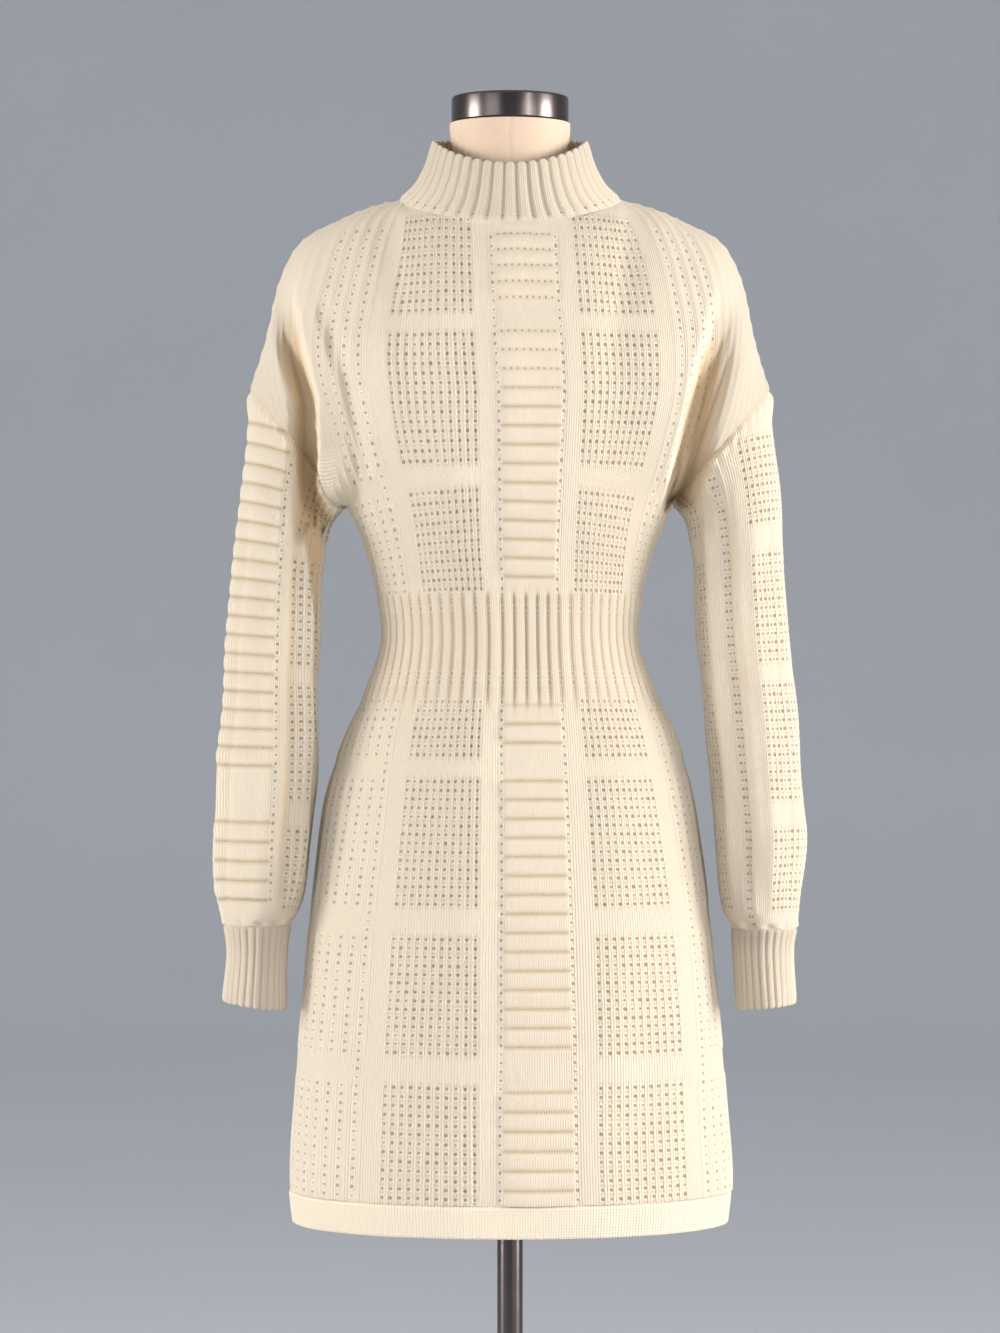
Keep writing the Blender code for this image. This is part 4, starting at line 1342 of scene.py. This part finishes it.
def sleeve_creases(name, phi, down):
    """Long soft folds that hang down a sleeve: each a bell round the arm, faded at its ends."""
    made = np.zeros(phi.shape)
    for at_top, at_cuff, top, low, width, size in SLEEVE_FOLDS[name]:
        length = (down - top) / (low - top)
        middle = at_top + (at_cuff - at_top) * np.clip(length, 0, 1)
        away = np.mod(phi - middle + math.pi, 2 * math.pi) - math.pi
        fade = smoothstep(0, 0.18, length) * (1 - smoothstep(0.75, 1.0, length))
        made = made + size * bell(away, width) * fade
    return made


def build_cuff(name, table, side, columns, rows, rib_count=26):
    """A ribbed cuff from the sleeve down, with a rounded lower edge and an inside."""
    knit = bpy.context.scene.dress_knit
    share = np.linspace(0, 1, rows + 1)
    around = np.linspace(0, 2 * math.pi, columns + 1)
    grid = sleeve_rings(table, around[None, :-1], share)
    grid[..., 0] *= side
    grid[-1, :, 2] += WALL / 2
    normals = outward(grid, True) * -side
    u = around * rib_count / math.pi
    rib = ribs(u[:-1])
    size = smoothstep(-0.01, 0.05, share) * (1 - 0.35 * smoothstep(0.93, 1.0, share))
    outer = grid + normals * (knit.rib * size[:, None] * (rib - RIB_MIDDLE))[..., None]
    outer[-1, :, 2] -= 0.0012 * rib
    points = rolled(outer, normals, WALL, 0.026)
    v = np.linspace(0, 14, len(points))[:, None]
    if side > 0:
        points, v = points[::-1], v[::-1]
    # Painted shade in the valleys between the ribs
    return knitted(name, points, "rib", u, v, closed=True, valley=0.35 * (1 - rib) ** 1.8)


def build_collar(columns, rows, rib_count=44):
    """The ribbed funnel neck: rings from the neckline up, a rounded top edge and an inside."""
    knit = bpy.context.scene.dress_knit
    up = np.linspace(0, 1, rows + 1)
    turn = np.linspace(-math.pi / 2, 1.5 * math.pi, columns + 1)[:-1]
    sine, cosine = np.sin(turn), np.cos(turn)
    in_front = cosine > 0
    angle = np.arcsin(sine)
    base = np.where(in_front[:, None], neckline(angle, -1), neckline(angle, 1))
    shares = column(COLLAR_COLUMNS, COLLAR, "share")
    half_width, front, back = (
        through(shares, column(COLLAR_COLUMNS, COLLAR, name), up)[:, None] for name in COLLAR_COLUMNS[1:]
    )
    x = half_width * sine
    y = -np.where(in_front, front, back) * cosine
    middle = np.where(in_front, COLLAR_TOP_FRONT, COLLAR_TOP_BACK)
    top = COLLAR_TOP_SIDE + (middle - COLLAR_TOP_SIDE) * np.abs(cosine) ** 1.4
    z = base[:, 2] + (top - WALL / 2 - base[:, 2]) * up[:, None]
    grid = np.stack([x, y, z], axis=-1)
    grid[0] = base
    normals = outward(grid, True)
    u = np.linspace(0, 2 * rib_count, columns + 1)
    rib = ribs(u[:-1])
    size = 1.05 * smoothstep(0.0, 0.06, up) * (1 - 0.4 * smoothstep(0.95, 1.0, up))
    outer = grid + normals * (knit.rib * size[:, None] * (rib - RIB_MIDDLE))[..., None]
    outer[-1, :, 2] += 0.0016 * (rib - 0.5)
    points = rolled(outer, normals, WALL, 0.040)
    v = np.linspace(0, 16, len(points))[:, None]
    holes = (np.rint(u[:-1]) % 2 == 1) * (np.rint(v) == 1)
    # Painted shade in the valleys between the ribs
    valley = 0.45 * (1 - rib) ** 1.8
    return knitted("collar", points, "rib", u, v, closed=True, valley=valley, hole=holes)


def solid_of(name, rings, finish, sharp):
    """A closed object from rings stored from the bottom up, each end closed by one face."""
    rows, columns = rings.shape[:2]
    faces = grid_faces(rows, columns, True).tolist()
    faces.append(list(range(columns))[::-1])
    faces.append([(rows - 1) * columns + place for place in range(columns)])
    made = placed(name, rings, faces, finish_of(finish), sharp)
    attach(made, "root")
    return made


def around_pole(radius, height, columns):
    """Circles about the pole's axis, one for each radius and height."""
    turn = np.arange(columns) * 2 * math.pi / columns
    radius, height = np.asarray(radius)[:, None], np.asarray(height)[:, None]
    return np.stack([radius * np.cos(turn), radius * np.sin(turn), height + 0 * turn], axis=-1)


def rounded_disc(node, edge, steps=6):
    """The profile of a disc with quarter-round edges, from a node's own box."""
    low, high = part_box(node)
    radius, bottom, top = (high[0] - low[0]) / 2, low[2], high[2]
    turn = np.linspace(0, math.pi / 2, steps + 1)
    lower = np.stack([radius - edge + edge * np.sin(turn), bottom + edge - edge * np.cos(turn)], axis=1)
    upper = np.stack([radius - edge + edge * np.cos(turn), top - edge + edge * np.sin(turn)], axis=1)
    return np.concatenate([lower, upper])


def build_form(columns=160, rows=240):
    """The padded torso and neck under a linen cover: half ellipses, with a middle seam."""
    knots = column(FORM_COLUMNS, FORM, "height")
    heights = np.linspace(FORM_LOW, FORM_HIGH, rows + 1)
    turn = np.arange(columns) * 2 * math.pi / columns - math.pi / 2
    half_width, front, back = (
        through(knots, column(FORM_COLUMNS, FORM, name), heights)[:, None] for name in FORM_COLUMNS[1:]
    )
    sine, cosine = np.sin(turn), np.cos(turn)
    inwards = 1 - 0.012 * bell(sine * half_width, 0.0012)
    x = half_width * sine * inwards
    y = -np.where(cosine > 0, front, back) * cosine * inwards
    return solid_of("form_cover", np.stack([x, y, heights[:, None] + 0 * x], axis=-1), "linen", 60)


class DRESS_OT_form(bpy.types.Operator):
    """Build the form, its neck cap and its stand"""

    bl_idname = "dress.form"
    bl_label = "Form and Stand"

    def execute(self, context):
        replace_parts(build_form(), "form_body")
        for name, node, edge, finish in (
            ("cap", "neck_cap", 0.0022, "gunmetal"),
            ("flange", "form_flange", 0.0015, "gunmetal"),
            ("pole_tube", "pole", 0.0005, "gunmetal"),
            ("socket", "base_socket", 0.0015, "gunmetal"),
            ("plate", "base_plate", 0.0015, "base_steel"),
        ):
            rings = around_pole(*rounded_disc(node, edge).T, 96)
            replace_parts(solid_of(name, rings, finish, 40), node)
        return {"FINISHED"}


class DRESS_OT_bodice(bpy.types.Operator):
    """Build the front and back of the bodice"""

    bl_idname = "dress.bodice"
    bl_label = "Bodice"

    def execute(self, context):
        for face, place, size in ((-1, "front", (320, 56, 176)), (1, "back", (240, 44, 140))):
            made = build_bodice(face, place, *size)
            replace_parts(made, f"bodice_{place}")
        return {"FINISHED"}


class DRESS_OT_skirt(bpy.types.Operator):
    """Build the front and back of the skirt, the waist rib and the hem"""

    bl_idname = "dress.skirt"
    bl_label = "Skirt"

    def execute(self, context):
        for face, place, size in ((-1, "front", (320, 280)), (1, "back", (240, 210))):
            made = build_skirt(face, place, *size)
            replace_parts(made, f"skirt_{place}")
        waist = build_waist(330, 52)
        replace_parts(waist, "waist_rib_front", "waist_rib_back")
        hem = build_hem(300, 18)
        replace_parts(hem, "hem_front", "hem_back")
        return {"FINISHED"}


class DRESS_OT_sleeves(bpy.types.Operator):
    """Build both sleeves with their cuffs"""

    bl_idname = "dress.sleeves"
    bl_label = "Sleeves"

    def execute(self, context):
        for side, place, sleeve_table, cuff_table in (
            (1, "left", SLEEVE_LEFT, CUFF_LEFT),
            (-1, "right", SLEEVE_RIGHT, CUFF_RIGHT),
        ):
            made = build_sleeve(f"sleeve_{place}", sleeve_table, side, 200, 300)
            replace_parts(made, f"sleeve_{place}")
            cuff = build_cuff(f"cuff_{place}", cuff_table, side, 312, 36)
            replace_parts(cuff, f"cuff_{place}")
        return {"FINISHED"}


class DRESS_OT_collar(bpy.types.Operator):
    """Build the mock neck"""

    bl_idname = "dress.collar"
    bl_label = "Collar"

    def execute(self, context):
        made = build_collar(528, 40)
        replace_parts(made, "collar")
        return {"FINISHED"}


def area_light(name, place, size, power, target, colour):
    """A rectangular soft light turned to a target."""
    data = bpy.data.lights.new(name, "AREA")
    data.shape = "RECTANGLE"
    data.size, data.size_y = size
    data.energy = power
    data.color = colour
    made = bpy.data.objects.new(name, data)
    made.location = place
    made.rotation_euler = (Vector(target) - Vector(place)).to_track_quat("-Z", "Y").to_euler()
    bpy.context.scene.collection.objects.link(made)


def build_backdrop(colour, floor=8.5, bend=5.0, height=10.0, columns=96):
    """A round floor that rises in a quarter circle to a round wall, its faces inwards and up."""
    turn = np.linspace(0, math.pi / 2, 25)
    radius = np.concatenate([[0.001], floor + bend * np.sin(turn), [floor + bend]])
    level = np.concatenate([[0.0], bend - bend * np.cos(turn), [height]])
    grid = around_pole(radius, level, columns)[:, ::-1]
    graph = Graph("backdrop")
    tone = graph.noise(graph.points(), 0.7)
    graph.put(graph.mix(tone, rgba(colour), rgba(colour, 0.92)), graph.shader.inputs["Base Color"])
    graph.settle(Roughness=0.9)
    faces = grid_faces(len(radius), columns, True).tolist()
    placed("backdrop", grid, faces, graph.material)


class DRESS_OT_stage(bpy.types.Operator):
    """Build the floor, the lights and the camera"""

    bl_idname = "dress.stage"
    bl_label = "Stage"

    def execute(self, context):
        stage, scene = context.scene.dress_stage, context.scene
        build_backdrop(stage.floor)
        world = bpy.data.worlds.new("studio")
        world.use_nodes = True
        sky = world.node_tree.nodes["Background"].inputs
        sky["Color"].default_value = SKY_COLOUR
        sky["Strength"].default_value = SKY_STRENGTH
        scene.world = world
        for light in LIGHTS:
            area_light(*light)
        data = bpy.data.cameras.new("camera")
        data.lens = stage.lens
        camera = bpy.data.objects.new("camera", data)
        camera.location = (stage.camera_side, -stage.camera_distance, stage.camera_height)
        camera.rotation_euler = (math.pi / 2, 0, 0)
        scene.collection.objects.link(camera)
        scene.camera = camera
        scene.view_settings.view_transform = "Standard"
        return {"FINISHED"}


class DRESS_PT_panel(bpy.types.Panel):
    """Lists the pieces and their sizes and colours"""

    bl_label = "Sweater Dress"
    bl_idname = "DRESS_PT_panel"
    bl_space_type = "VIEW_3D"
    bl_region_type = "UI"
    bl_category = "Dress"

    def draw(self, context):
        scene = context.scene
        for group in (scene.dress_knit, scene.dress_colours, scene.dress_stage):
            box = self.layout.box()
            for key in group.bl_rna.properties.keys():
                if key not in ("rna_type", "name"):
                    box.prop(group, key)
        for operator in OPERATORS:
            self.layout.operator(operator.bl_idname)


GROUPS = (DRESS_PG_knit, DRESS_PG_colours, DRESS_PG_stage)
OPERATORS = (
    DRESS_OT_form,
    DRESS_OT_bodice,
    DRESS_OT_skirt,
    DRESS_OT_sleeves,
    DRESS_OT_collar,
    DRESS_OT_stage,
)
CLASSES = (*GROUPS, *OPERATORS, DRESS_PT_panel)


def register():
    """Adds the classes and the settings to Blender."""
    for item in CLASSES:
        bpy.utils.register_class(item)
    bpy.types.Scene.dress_knit = PointerProperty(type=DRESS_PG_knit)
    bpy.types.Scene.dress_colours = PointerProperty(type=DRESS_PG_colours)
    bpy.types.Scene.dress_stage = PointerProperty(type=DRESS_PG_stage)


def unregister():
    """Takes the classes and the settings out again."""
    del bpy.types.Scene.dress_stage
    del bpy.types.Scene.dress_colours
    del bpy.types.Scene.dress_knit
    for item in reversed(CLASSES):
        bpy.utils.unregister_class(item)


def main():
    """Builds all pieces and the stage."""
    register()
    bpy.ops.dress.form()
    bpy.ops.dress.bodice()
    bpy.ops.dress.skirt()
    bpy.ops.dress.sleeves()
    bpy.ops.dress.collar()
    bpy.ops.dress.stage()
    bpy.context.view_layer.update()


if __name__ == "__main__":
    main()
